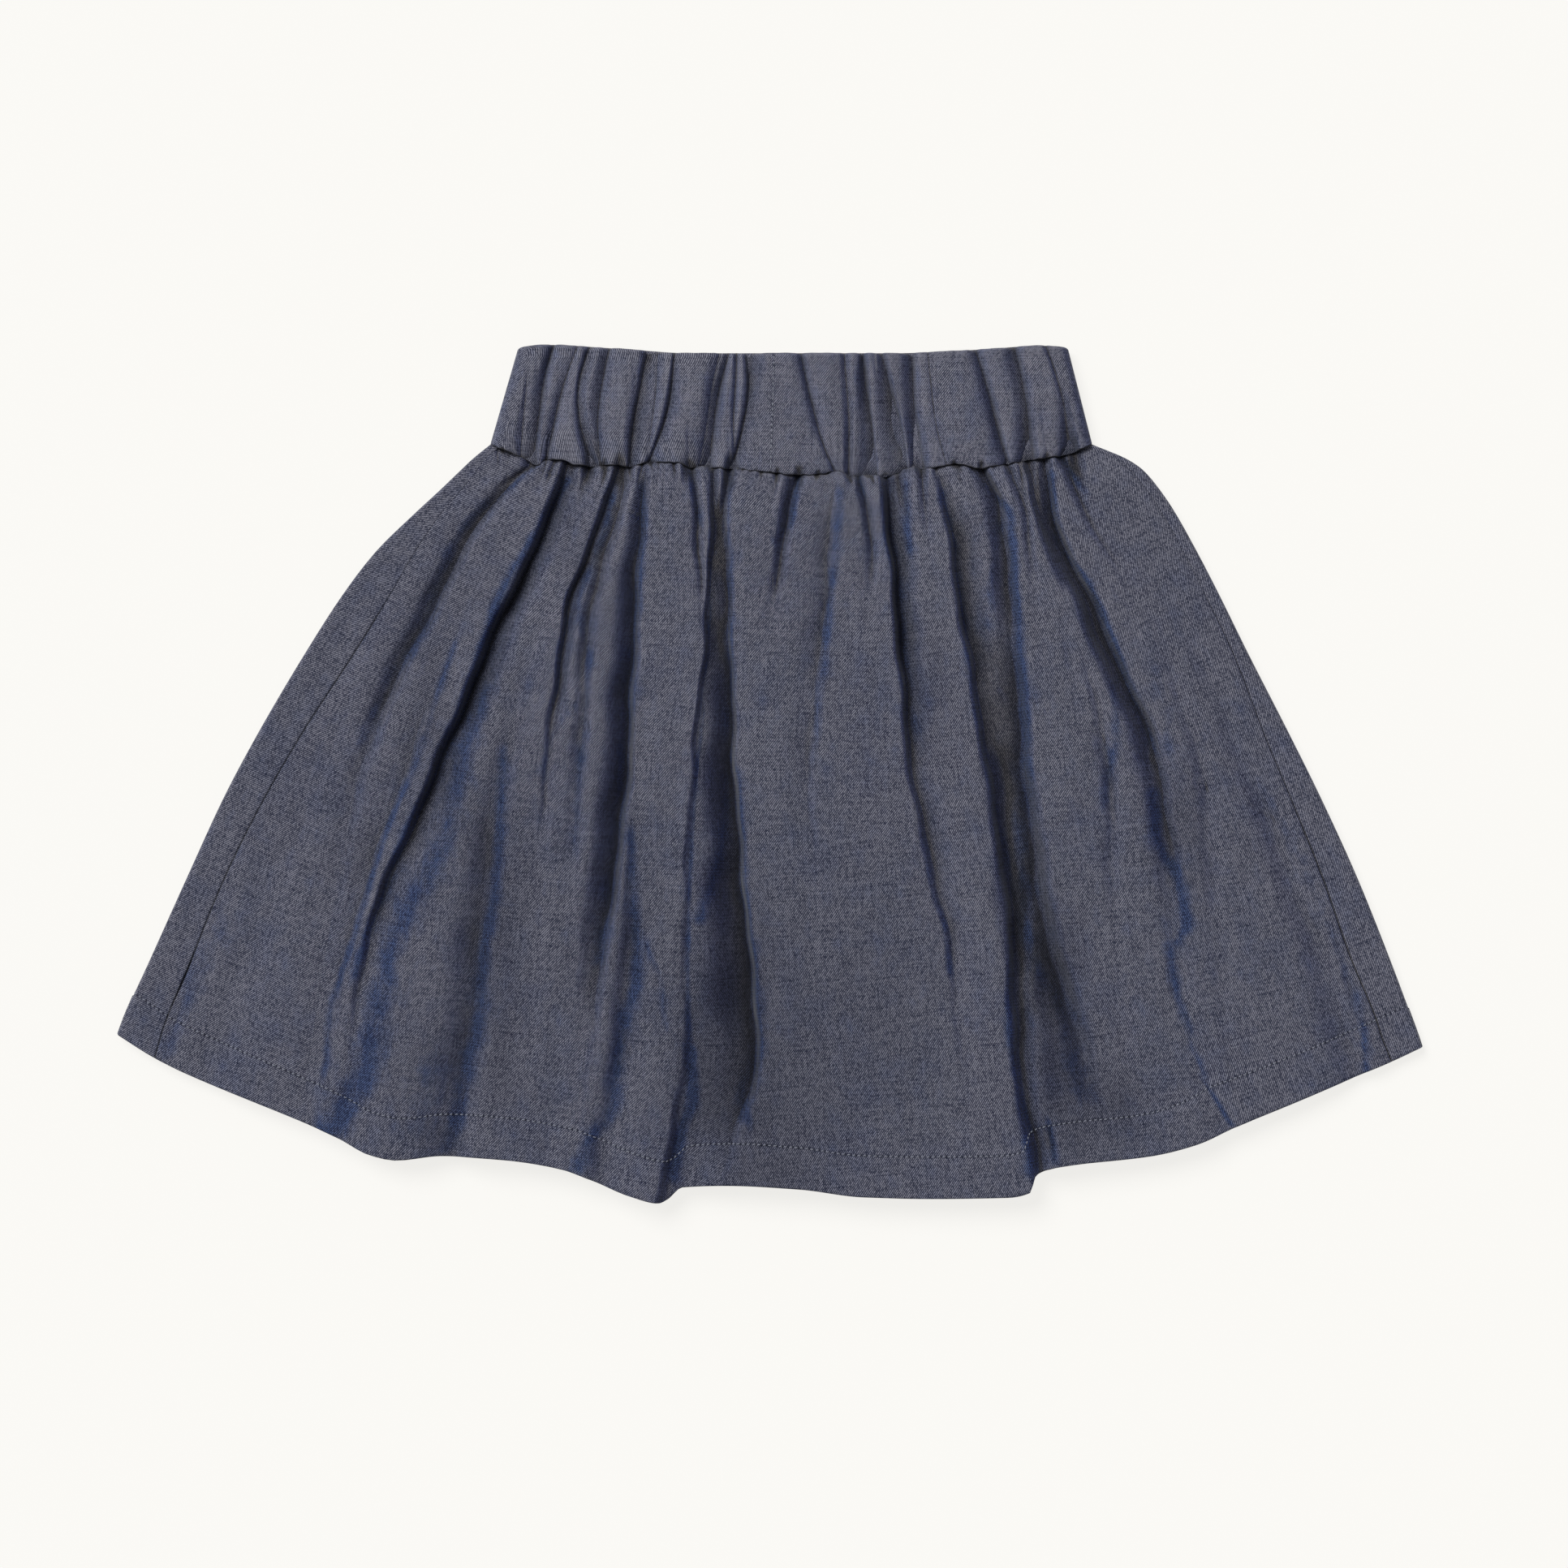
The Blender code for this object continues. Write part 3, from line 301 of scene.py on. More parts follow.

# Where the blue yarn shows most, down the front, partly the cloth's own blue and partly painted sheen on
# the
# flanks: half width and strength at both ends, and points of the line from the waist down, in millimetres
Streak = namedtuple("Streak", "widths strengths line")
STREAKS = [Streak(*row) for row in (
    ((2.3, 2.3), (0.5, 0.35), ((-98, 94), (-109.3, 79.9), (-114.9, 65.8), (-119.1, 51.7), (-131.8, 32),
     (-140.3, 12.3))),
    ((1.4, 1.4), (0.5, 0.5), ((-109.3, 43.3), (-114.9, 26.4), (-122, 3.8), (-131.8, -18.8), (-138.9, -41.3),
     (-145.9, -63.9), (-151.6, -80.8), (-153.8, -103.4))),
    ((2, 2), (0.8, 0.7), ((-70.4, 101.1), (-81.1, 82.8), (-92.4, 63), (-99.4, 43.3), (-106.5, 23.5),
     (-114.9, 1), (-126.2, -21.6), (-133.2, -41.3), (-138.9, -55.4), (-143.1, -69.5))),
    ((3.4, 6.2), (0.5, 0.75), ((-98, 29.2), (-103.6, 12.3), (-109.3, -13.1), (-114.9, -30), (-123.4, -44.1),
     (-130.4, -61.1), (-134.7, -80.8), (-138.9, -100.5), (-145.9, -114.6), (-151.6, -124.5))),
    ((2, 3.4), (0.5, 0.75), ((-91.8, 9.4), (-92.4, -7.5), (-93.8, -30), (-96.6, -52.6), (-100.3, -72.3),
     (-100.8, -86.4), (-105, -100.5), (-107.9, -117.5), (-110.7, -128.7))),
    ((2, 1.4), (0.5, 0.4), ((-54.3, 99.7), (-55.7, 88.4), (-61.3, 71.5), (-65.6, 60.2), (-64.2, 48.9),
     (-62.2, 37.6), (-63.6, 20.7), (-65.6, 3.8), (-67, -24.4))),
    ((1.4, 1.4), (0.4, 0.5), ((-64.2, 63), (-69.8, 51.7), (-72.6, 40.5), (-73.2, 29.2))),
    ((1.4, 1.4), (0.4, 0.4), ((-67, 23.5), (-75.4, 12.3), (-78.3, -1.8))),
    ((1.7, 2.8), (0.7, 0.6), ((-43.9, 99.7), (-44.4, 77.1), (-45.8, 60.2), (-47.8, 40.5), (-48.6, 23.5),
     (-50.6, 3.8), (-51.5, -10.3), (-54.3, -30), (-56.3, -47), (-59.1, -63.9))),
    ((1.7, 3.7), (0.6, 0.75), ((-47.8, -18.8), (-47.2, -41.3), (-45.8, -58.2), (-45.8, -72.3),
     (-50.1, -83.6), (-52.3, -100.5), (-54.3, -117.5), (-61.3, -125.9), (-65.6, -137.2))),
    ((1.4, 1.4), (0.4, 0.4), ((-43, -58.2), (-37.4, -72.3), (-36, -86.4))),
    ((1.4, 1.1), (0.7, 0.5), ((-28.1, 108.1), (-26.1, 96.9), (-23.8, 87))),
    ((0.8, 1.1), (0.5, 0.6), ((-20.4, 82.8), (-20.4, 57.4), (-22.4, 32), (-24.1, 9.4), (-26.1, -13.1),
     (-27.5, -41.3), (-28.1, -69.5), (-27.5, -92.1))),
    ((2.3, 2.5), (1, 0.9), ((-27.2, -94.9), (-26.1, -111.8), (-30.3, -124.5), (-33.1, -140))),
    ((1.2, 2.5), (0.3, 0.7), ((-13.4, 102.5), (-14, 82.8), (-13.4, 63), (-13.4, 40.5), (-14, 23.5),
     (-14.8, 3.8), (-15.7, -18.8), (-19, -35.7), (-23.3, -49.8))),
    ((1.4, 2.8), (0.5, 0.6), ((-10.6, 1), (-9.2, -24.4), (-7.8, -47), (-4.9, -69.5), (-2.7, -92.1),
     (-4.9, -100.5), (-10, -111.8), (-7.2, -120.3))),
    ((1.4, 1.7), (0.6, 0.5), ((10.6, 108.1), (8.6, 94), (7.8, 87), (2.1, 81.4))),
    ((1.7, 2), (0.62, 0.3), ((24.7, 96.9), (23.8, 82.8), (21.3, 63), (19.9, 43.3), (17.6, 20.7),
     (16.8, 9.4))),
    ((1.1, 1.1), (0.5, 0.5), ((30.3, 105.3), (33.1, 94))),
    ((1.4, 1.4), (0.5, 0.5), ((47.2, 99.7), (48.6, 77.1))),
    ((1.7, 2.5), (0.7, 0.35), ((40.2, 101.1), (40.7, 85.6), (44.4, 65.8), (46.4, 46.1), (47.2, 29.2),
     (50.1, 12.3))),
    ((1.1, 1.1), (0.3, 0.7), ((52.9, -18.8), (57.1, -41.3), (61.3, -55.4), (62.7, -68.1))),
    ((1.4, 1.1), (0.75, 0.5), ((59.9, 96.9), (64.2, 79.9), (67, 57.4), (69.8, 34.8), (74, 9.4),
     (79.7, -15.9), (83.9, -35.7), (86.7, -52.6))),
    ((1.4, 3.9), (0.75, 0.5), ((75.4, 99.7), (83.9, 88.4), (85.3, 65.8), (86.7, 43.3), (88.1, 23.5),
     (88.7, 3.8), (88.1, -18.8), (88.1, -41.3), (92.4, -63.9), (100.8, -80.8), (105, -97.7),
     (109.3, -111.8))),
    ((1.7, 1.7), (0.4, 0.4), ((79.7, 85.6), (77.4, 68.7), (76.3, 51.7))),
    ((1.1, 2.3), (0.7, 0.9), ((83.9, -55.4), (83, -83.6), (85.3, -103.4), (89.5, -123.1), (91.5, -137.2))),
    ((1.1, 1.1), (0.6, 0.6), ((96.6, -120.3), (99.4, -134.4))),
    ((1.4, 1.4), (0.85, 0.5), ((98, 102.5), (99.4, 82.8), (110.7, 65.8), (119.1, 46.1), (126.2, 26.4),
     (134.7, 6.6))),
    ((2.5, 2.5), (0.35, 0.35), ((134.7, 29.2), (138.9, 20.7), (137.5, 6.6))),
    ((3.1, 1.7), (0.85, 0.65), ((133.2, -6.1), (134.7, -24.4), (141.7, -35.7), (144.5, -52.6),
     (138.9, -61.1), (140.3, -72.3), (145.9, -89.3))),
    ((1.7, 1.7), (0.5, 0.5), ((119.1, 29.2), (120.6, 12.3), (117.7, 1), (115.8, -10.3))),
    ((1.4, 1.4), (0.35, 0.25), ((144.5, -89.3), (153, -109), (160, -121.7))),
    ((2, 2), (0.2, 0.4), ((169.9, -1.8), (186.8, -35.7), (198.1, -63.9), (205.2, -83.6), (208, -100.5))),
    ((4.5, 4.5), (0.2, 0.35), ((-188.2, -47), (-199.5, -72.3), (-206.6, -92.1), (-209.4, -97.7))),
    ((1.7, 1.7), (0.7, 0.6), ((100.8, 109.6), (109.3, 98.3))),
    ((1.4, 1.4), (0.4, 0.4), ((-82.5, 105.3), (-92.4, 96.9))),
    ((7.3, 7.3), (0.25, 0.25), ((-116.3, -97.7), (-120, -125.9))),
    ((0.9, 1.3), (0.7, 0.8), ((206, -87), (206.5, -97), (208, -106))),
    ((0.8, 1.2), (0.6, 0.8), ((149.5, -105), (154.5, -112.5), (159.5, -120.6))),
)]

# Pits where the waist seam pulls the cloth in: x, half width, how far down, depth. In millimetres
SEAM_PITS = (
    (-92.4, 0.9, 1.4, 1), (-83.6, 0.8, 1, 0.7), (-81.1, 0.7, 1.6, 1.1), (-62, 1.6, 4.5, 2),
    (-60.5, 0.7, 1.5, 1), (-51.6, 1.8, 5.5, 2), (-48.1, 0.7, 1.8, 1.2), (-40.8, 0.8, 1.4, 1),
    (-27.5, 1.6, 4, 1.6), (-20.4, 0.7, 2, 1.2), (-13.4, 1.4, 6.5, 2), (-11, 0.6, 1, 0.6),
    (10.6, 1.3, 4.5, 1.6), (27.8, 0.8, 1.8, 1), (34.5, 0.8, 1.2, 0.9), (40.2, 0.8, 1.8, 1.2),
    (52.9, 1, 3.2, 1.6), (82.5, 0.8, 1.8, 1), (89.8, 1.6, 4.5, 1.8), (96, 0.9, 2.2, 1.2),
    (102.2, 1.2, 3.5, 1.4), (105.6, 1.5, 7, 1.8), (-57, 0.9, 3, 1.4), (3, 0.8, 2.5, 1.2),
    (17, 0.8, 2.2, 1), (64, 0.8, 2, 1), (73.5, 1, 4, 1.4),
)

# Stretches of the front with painted shade, where its slopes turn from the light: x, y, half width, half
# height, strength. In millimetres
SHADE_PATCHES = (
    (-3.8, -125, 24, 80, 0.75), (36, -82, 24, 50, 0.4), (-118, 19, 10, 50, 0.55),
    (-94, -50, 10, 35, 0.8), (-49, -45, 11, 45, 0.6), (-118, -114, 10, 30, 0.5), (98, -84, 11, 42, 1.3),
    (142, -20, 9, 22, 0.6), (-23, -92, 11, 30, 1), (-171, 3, 18, 40, 0.35), (121, -114, 10, 14, 0.7),
    (-79, 118, 3, 12, 0.45), (-59, 118, 3, 11, 0.55), (-44, 118, 3.5, 14, 0.55), (-27, 114, 4, 8, 0.4),
    (-17, 128, 2.5, 16, 0.55), (-2, 125, 6, 18, 0.25), (33, 125, 3, 20, 0.6),
    (43.5, 120, 3.5, 22, 0.85), (78, 122, 2.5, 12, 0.4), (90, 118, 3, 14, 0.5),
    (103.5, 120, 3.2, 20, 0.4), (-4, -72, 5, 35, 0.5), (109, -118, 9, 18, 0.7), (-108, 72, 7, 18, 0.35),
    (-109, -2, 6, 14, 0.5), (-14, -10, 6, 22, 0.35), (56, 25, 6, 25, 0.45), (-97, 32, 6, 14, 0.3),
    (-143, -30, 7, 14, 0.45), (-85, -28, 6, 24, 0.28), (-61, 66, 6, 20, 0.25), (92, -62, 6, 12, 0.35),
    (-96, -85, 6, 30, 0.25), (-92, -103, 8, 20, 0.4), (-69, 80, 8, 28, 0.45), (-93, 60, 8, 35, 0.35),
    (50, 43, 8, 20, 0.3),
)

# The pressed gathers of the side that lies on the table, and the short ones of the waist seam
BACK_GATHERS = 16
BACK_GATHER_DEPTH = 1.0 * MM
BACK_GATHER_WIDTH = 3.2 * MM
BACK_GATHER_LENGTH = 45 * MM
BACK_LONG_LENGTH = 150 * MM  # of every third one
BACK_SPREAD = 0.45
BAND_BACK_CREASES = 16
SEAM_GATHERS = 38
GATHER_LENGTHS = (2.5 * MM, 8.5 * MM)
GATHER_DEPTHS = (0.5 * MM, 1.5 * MM)
GATHER_HALF = 0.75 * MM
PIT_STRENGTH = 1.3
BAND_PIT_STRENGTH = 0.7
SEAM_CREASES_FROM = 100.4 * MM  # creases that start above this height run out of the waist seam

# Steps that spread like details about without a pattern
GOLDEN = 0.618034
SECOND_STEP = 0.377
THIRD_STEP = 0.713

# Meshes: columns between two folds, rows down a panel, and stations round the band. TRACK holds the
# heights at which the paths of the columns are read
FOLD_COLUMNS = 14
GATHER_ROWS = 24
GATHER_SHARE = 0.085
LENGTH_ROWS = 74
HEM_ROWS = 14
CLOSE_HEM = 19 * MM  # the stretch above the hem where they are
TURN_STEPS = 5
RETURN_ROWS = 5
BACK_COLUMNS = 110
STRIP_COLUMNS = 12
BEND_STEPS = 9
BAND_FRONT = 560
BAND_ROWS = 40
SHELTER_COLUMNS = 28
EVEN_ROWS = 8
BAND_BACK = 130
ROUND_STEPS = 5
INNER_ROWS = 8
STITCH_RINGS = 7
STITCH_SIDES = 6
TRACK = np.linspace(0.125, -0.160, 571)

# Ripples that keep the cloth from lying even: waves to the metre across and along, and phase
RIPPLES = (
    (41.0, 13.0, 0.3), (-29.0, 22.0, 1.9), (63.0, -17.0, 4.1), (17.0, 37.0, 2.6), (-52.0, -31.0, 5.2),
)

# Fine gathers along the waist seam: waves to the metre, and phase
PUCKERS = ((345.0, 0.4), (233.0, 2.2), (149.0, 4.9), (91.0, 1.1))

# How far the lengthwise yarns wander, in millimetres, and how often to the millimetre
WANDER = 0.5
WANDER_RATE = 0.16

# Unevenness of the yarns: changes to the millimetre across and along, a layer of its own, and detail
UNEVEN = {
    "ends": (2.6, 0.05, 0, 1), "picks": (0.07, 2.9, 3, 1), "cloud": (0.21, 0.13, 7, 3),
    "wash": (0.05, 0.035, 11, 2), "grain": (1.5, 1.4, 5, 2), "slub": (0.9, 0.022, 9, 2),
    "thick": (0.045, 1.05, 13, 2),
}

# How pale the cloth is, and how much each of them and the weave itself change it
PALE_BASE = 0.267
FLOAT_SHARE = 0.60
WALE_SHARE = 0.14
YARN_SHARE = 0.90
# CREST_SHARE is a painted highlight on the crests of folds
CREST_SHARE = 0.14
CASING_PAINTED_LIGHT = 1.36  # painted light: the casing is painted paler, as its flat face catches more light
PALER = {"ends": 0.66, "picks": 0.78, "grain": 0.36, "cloud": 0.16, "slub": 0.12, "thick": 0.38}
HOLE_SHADE = (0.22, 0.24, 0.32)  # painted shade of the needle holes and of the furrow that the stitching pulls

# Where each tint starts and where it is full: painted sheen on flanks that lean left, painted shadow on
# those that lean right, blue yarn with painted sheen, painted shade on fold floors and deep in folds, and a
# painted highlight on crests
LEFT_LEAN = (0.12, 0.55)
RIGHT_LEAN = (-0.16, -0.62)
BLUE_SHOWS = (0.08, 0.75)
FLOOR_SHUT = (0.22, 0.55)
DEEP_SHUT = (0.18, 0.80)
CREST = (-0.22, -0.70)

# What the meshes tell the finish: how far the cloth turns to the left, how shut in it lies for its painted
# shade, how much blue yarn and painted sheen shows, how much painted shade the shaded patches put on it,
# the painted shade beside a fold's sharp edge less the painted highlight on a crest, and where it is from
# the needle holes
MARKS = ("lean", "shelter", "blue", "dull", "core", "steps", "aside")

# What each sheet was cut to, as width and length, and its area where the cut tapers to the waist
FRONT_CUT = (0.470, 0.275)
FRONT_AREA = 0.105
BACK_CUT = (0.460, 0.275)
BACK_AREA = 0.104
BAND_CUT = (0.440, 0.040)

TABLE_SIZE = 6.0
TABLE_DROP = 0.1 * MM  # how far the table lies below the skirt
SENSOR_WIDTH = 36.0  # of the camera, in millimetres


def smooth_line(points, where):
    """A smooth curve through table rows, read at the given places of its first column."""
    table = np.array(points, float)
    at, value = table[:, 0], table[:, 1]
    if at[0] > at[-1]:
        at, value = at[::-1], value[::-1]
    slope = np.diff(value) / np.diff(at)
    product = slope[:-1] * slope[1:]
    total = slope[:-1] + slope[1:]
    tangent = np.zeros_like(value)
    tangent[0], tangent[-1] = slope[0], slope[-1]
    tangent[1:-1] = np.where(product > 0, 2 * product / np.where(total == 0, 1, total), 0)
    inside = np.clip(where, at[0], at[-1])
    index = np.clip(np.searchsorted(at, inside) - 1, 0, len(at) - 2)
    step = at[index + 1] - at[index]
    u = (inside - at[index]) / step
    curve = (
        value[index] * (1 + 2 * u) * (1 - u) ** 2
        + tangent[index] * step * u * (1 - u) ** 2
        + value[index + 1] * u * u * (3 - 2 * u)
        + tangent[index + 1] * step * u * u * (u - 1)
    )
    beyond = np.where(inside <= at[0], tangent[0], tangent[-1])
    return curve + beyond * (where - inside)


def ease(value):
    """0 below 0, 1 above 1, and a smooth step between."""
    value = np.clip(value, 0, 1)
    return value * value * (3 - 2 * value)


def bell(offset, width):
    """1 in the middle, falling away to nothing beyond the width on either side."""
    return np.exp(-((offset / width) ** 2))


def cleft(offset, width):
    """A bell with a sharper bottom."""
    return np.exp(-np.abs(offset / width) ** 1.6)


def scatter(index, step=GOLDEN, span=(0, 1)):
    """A value within the span that jumps about from one index to the next."""
    return span[0] + (span[1] - span[0]) * (index * step % 1)


def crowded(count, share):
    """Shares from 0 up to 1, that one left out, which crowd to both ends as far as the share says."""
    even = np.linspace(0, 1, count, endpoint=False)
    return share * (0.5 - 0.5 * np.cos(np.pi * even)) + (1 - share) * even


def side_line(name, y):
    return smooth_line(SIDE_LINES[name], y)


def seam_x(share):
    """x at a share of the waist seam's width."""
    return WAIST_SEAM[0][0] + share * WAIST_WIDTH


def down_fold(values, y):
    """What a fold's values, one at each of the LEVELS, are at any height."""
    return smooth_line(list(zip(LEVELS, values)), y)


def trough(offset, left, right, turns):
    """1 on a trough's line, falling to 0 over its left and right flanks."""
    on_left = offset < 0
    width = np.where(on_left, left, right)
    return np.exp(-(np.abs(offset / width) ** np.where(on_left, turns[0], turns[1])))


def hollow(offset, width):
    """1 on a hollow's line and exactly 0 beyond its half width."""
    return np.clip(1 - (offset / width) ** 2, 0, 1) ** 2


def crease_relief(crease, x, y):
    """How deep a short crease is at each place: it tapers away at both ends."""
    top, end, (depth, width) = crease[:2], crease[2:4], crease[4:]
    run = end - top
    length = np.hypot(*run)
    along = ((x - top[0]) * run[0] + (y - top[1]) * run[1]) / length**2
    aside = ((x - top[0]) * run[1] - (y - top[1]) * run[0]) / length
    start = 1.0 if top[1] > SEAM_CREASES_FROM else ease((along + 0.3) / 0.6)
    return depth * start * (1 - ease((along - 0.2) / 1.1)) * bell(aside, width)


def ripple(x, y):
    """Slow unevenness over the cloth, from -1 to 1."""
    return np.mean([np.sin(TURN * (a * x + b * y) + phase) for a, b, phase in RIPPLES], axis=0)


def pucker(x):
    """Fine gathers along the waist seam, from -1 to 1."""
    return np.mean([np.sin(TURN * a * x + phase) for a, phase in PUCKERS], axis=0)


def fine_seam():
    """The waist seam with the small waves that its gathers give it."""
    x = seam_x(np.linspace(0, 1, 400))
    taper = ease(np.minimum(x - x[0], x[-1] - x) / (6 * MM))
    return np.stack([x, smooth_line(WAIST_SEAM, x) + 0.3 * MM * taper * pucker(x)], axis=1)


SEAM_LINE = fine_seam()


def gathers(x, down):
    """The short gathers that the waist seam pulls in, clefts and pits that start at the seam."""
    sunk = np.zeros_like(x)
    for index in range(SEAM_GATHERS):
        length = scatter(index, SECOND_STEP, GATHER_LENGTHS)
        depth = scatter(index, THIRD_STEP, GATHER_DEPTHS)
        sway = 0.8 * MM * np.sin(down / length * 2 + index)
        offset = x - seam_x(scatter(index)) * (1 + 1.1 * down) + sway
        sunk = np.maximum(sunk, depth * bell(down, length) * cleft(offset, GATHER_HALF))
    return sunk + PIT_STRENGTH * MM * seam_pits(x, down)


def seam_pits(x, down, dark=False):
    """The pits at the waist seam: their depth in millimetres, or with dark the painted shade in them."""
    total = np.zeros(np.broadcast(x, down).shape)
    for at, width, reach, depth in SEAM_PITS:
        offset = (x / MM - at * (1 + 0.4 * down)) / (width * (1 + 0.04 * down / MM))
        pit = bell(offset, 1) * bell(down, reach * MM)
        total = np.maximum(total, pit * (min(1, 0.3 + 0.35 * depth) if dark else depth))
    return total


def dullness(points):
    """How much painted shade the shaded patches put at each point, from 0 to 1."""
    x, y = points[..., 0] / MM, points[..., 1] / MM
    return np.clip(sum(s * bell(x - a, w) * bell(y - b, h) for a, b, w, h, s in SHADE_PATCHES), 0, 1)


def front_height(x, y, share, down, up):
    """Height of the front panel's outer surface. down is the way from the waist seam, up the way from
    the hem."""
    left, right = side_line("left_seam", y), side_line("right_seam", y)
    across = np.clip(2 * (x - left) / (right - left) - 1, -1, 1)
    swell = smooth_line(CROWN, share) - EDGE_TOP
    height = EDGE_TOP + swell * (1 - np.abs(across) ** CROWN_POWER)
    sharp, settled = ease(down / SHARPENING), ease(down / (30 * MM))
    for index, fold in enumerate(FOLDS):
        size, rate, step = SWELLS
        uneven = 1 + size * settled * np.sin(rate * y + step * index)
        depth = MM * uneven * np.maximum(down_fold(fold.depth, y), 0)
        turns = [BLUNT_TURN + sharp * (turn - BLUNT_TURN) for turn in fold.turns]
        offset = fold_offset(index, fold, x, y, share)
        height = height - depth * trough(offset, *fold_flanks(fold, share), turns)
    height = height - sum(crease_relief(crease, x, y) for crease in CREASES) - gathers(x, down)
    inner = np.clip(1 - np.abs(across) ** 8, 0, 1)
    height = height + RIPPLE_HEIGHT * ripple(x, y) * inner * ease(down / RIPPLE_START)
    height = height + PUCKER_HEIGHT * pucker(x + 0.05 * down) * np.exp(-down / PUCKER_REACH) * inner
    above = (height - LOWEST_TROUGH) / TROUGH_SOFTNESS
    height = LOWEST_TROUGH + TROUGH_SOFTNESS * np.logaddexp(0, above)
    height = height - SIDE_GROOVE * side_groove(x, y, SIDE_GROOVE_HALF)
    return height - FRONT_DIP * bell(down, TUCK_REACH) + hem_relief(up)


def fold_cores(x, y, share):
    """How much painted shade lies just beside each fold's sharper edge, where that edge shades the cloth
    below it, from 0 to 1.
    """
    dark = np.zeros_like(x)
    for index, fold in enumerate(FOLDS):
        offset, flanks = fold_offset(index, fold, x, y, share), fold_flanks(fold, share)
        steep = trough(offset, *(0.45 * flank for flank in flanks), (2, 2))
        gentle = trough(offset, *(0.3 * flank + 0.7 for flank in flanks), (2, 2))
        core = np.where((offset < 0) == (flanks[0] < flanks[1]), steep, gentle)
        dark = np.maximum(dark, np.clip((down_fold(fold.depth, y) - 1.2) / 5, 0, 0.9) * core)
    return dark


def fold_flanks(fold, share):
    """How wide the two flanks of a fold are, in millimetres, at a share of the way down."""
    return [side[0] + share * (side[1] - side[0]) for side in (fold.left, fold.right)]


def fold_offset(index, fold, x, y, share):
    """How far each place is to the right of a fold's line, in millimetres, with the fold's sway."""
    sway = sum(size * np.sin(rate * y + step * index) for size, rate, step in SWAYS)
    return x / MM - down_fold(fold.x, y) + ease(share / 0.14) * sway


def side_groove(x, y, half):
    """How strongly the side seams show: smooth near the waist, plainest low down on the right."""
    edge = np.minimum(*(np.abs(side_line(name, y) - x) for name in ("left_seam", "right_seam")))
    shown = ease((SIDES_SHOW_FROM - y) / (20 * MM))
    return shown * (1 + 0.9 * (x > 0) * ease(-y / (30 * MM))) * bell(edge, half)


def seam_shade(shades, x, y, down):
    """How much painted shade lies at the waist seam and at the side seams, where the band and the seams
    shade the cloth.
    """
    return shades[0] * bell(down, TUCK_SHADE) + shades[1] * side_groove(x, y, SIDE_SHADE_HALF)


def hem_stitch_height():
    return bpy.context.scene.skirt_sewing.hem_stitch


def hem_relief(up):
    """The turned hem: a step up to two layers, and the furrow that its stitching pulls."""
    above = up - hem_stitch_height()
    layers = HEM_STEP * (1 - ease((above - 0.4 * MM) / (0.9 * MM)))
    return layers - HEM_FURROW * bell(above, HEM_FURROW_HALF)


def back_spread(index):
    """Where a pressed gather runs, as a share of the width: evenly spread, then shifted a little."""
    return (index + 0.5 + BACK_SPREAD * (scatter(index) - 0.5)) / BACK_GATHERS


def back_lift(x, y, down):
    """How far the pressed gathers lift the underside, 0 where it rests."""
    left, right = side_line("left_fold", y), side_line("right_fold", y)
    height = np.zeros_like(x)
    for index in range(BACK_GATHERS):
        length = BACK_LONG_LENGTH if index % 3 == 1 else BACK_GATHER_LENGTH
        depth = BACK_GATHER_DEPTH * (1 - ease(down / length))
        offset = x - left - back_spread(index) * (right - left)
        height = height + depth * hollow(offset, BACK_GATHER_WIDTH * (1 + down / 0.25))
    return height + BACK_PUCKER * (1 + pucker(x)) * np.exp(-down / BACK_PUCKER_REACH)


def crossing(paths, curve):
    """The height at which each column's path down the cloth crosses a curve."""
    above = TRACK - smooth_line(curve, paths)
    index = np.argmax(above < 0, axis=1)
    row = np.arange(len(paths))
    before, after = above[row, index - 1], above[row, index]
    return TRACK[index - 1] + before / (before - after) * (TRACK[index] - TRACK[index - 1])


def row_shares(length):
    """Shares of the way down, closest together at the gathers and at the stitched hem."""
    hem_start = 1 - CLOSE_HEM / length
    top = GATHER_SHARE * np.linspace(0, 1, GATHER_ROWS, endpoint=False) ** 1.4
    middle = np.linspace(GATHER_SHARE, hem_start, LENGTH_ROWS, endpoint=False)
    return np.concatenate([top, middle, np.linspace(hem_start, 1, HEM_ROWS)])


def lay_columns(paths, hem):
    """x, y, share of the way down, and distances from the seam and from the hem, column by row."""
    y_top = crossing(paths, SEAM_LINE) + SEAM_TUCK
    y_bottom = crossing(paths, hem)
    length = (y_top - y_bottom)[:, None]
    share = row_shares(length.mean())[None, :]
    y = y_top[:, None] - share * length
    x = np.array([np.interp(-row, -TRACK, path) for row, path in zip(y, paths)])
    return x, y, share + 0 * y, share * length, (1 - share) * length


def turn_under(points, radius, inward):
    """Adds rows that roll the hem under and run back up beneath the cloth."""
    last, before = points[:, -1], points[:, -4]
    away = last - before
    away[:, 2] = 0
    away /= np.linalg.norm(away, axis=1)[:, None]
    lower = np.array([0, 0, -1.0]) * inward[:, None]
    rows = []
    for angle in np.linspace(0, np.pi, TURN_STEPS + 1)[1:]:
        rows.append(last + radius * (np.sin(angle) * away + (1 - np.cos(angle)) * lower))
    for back in np.linspace(0, hem_stitch_height(), RETURN_ROWS + 1)[1:]:
        index = np.argmin(np.abs(np.linalg.norm(points - last[:, None], axis=2) - back), axis=1)
        along = points[np.arange(len(points)), index]
        rows.append(along + 2 * radius * lower)
    turned = np.concatenate([points, np.stack(rows, axis=1)], axis=1)
    turned[:, points.shape[1] - 1 :, :2] -= radius * away[:, None, :2]
    return turned


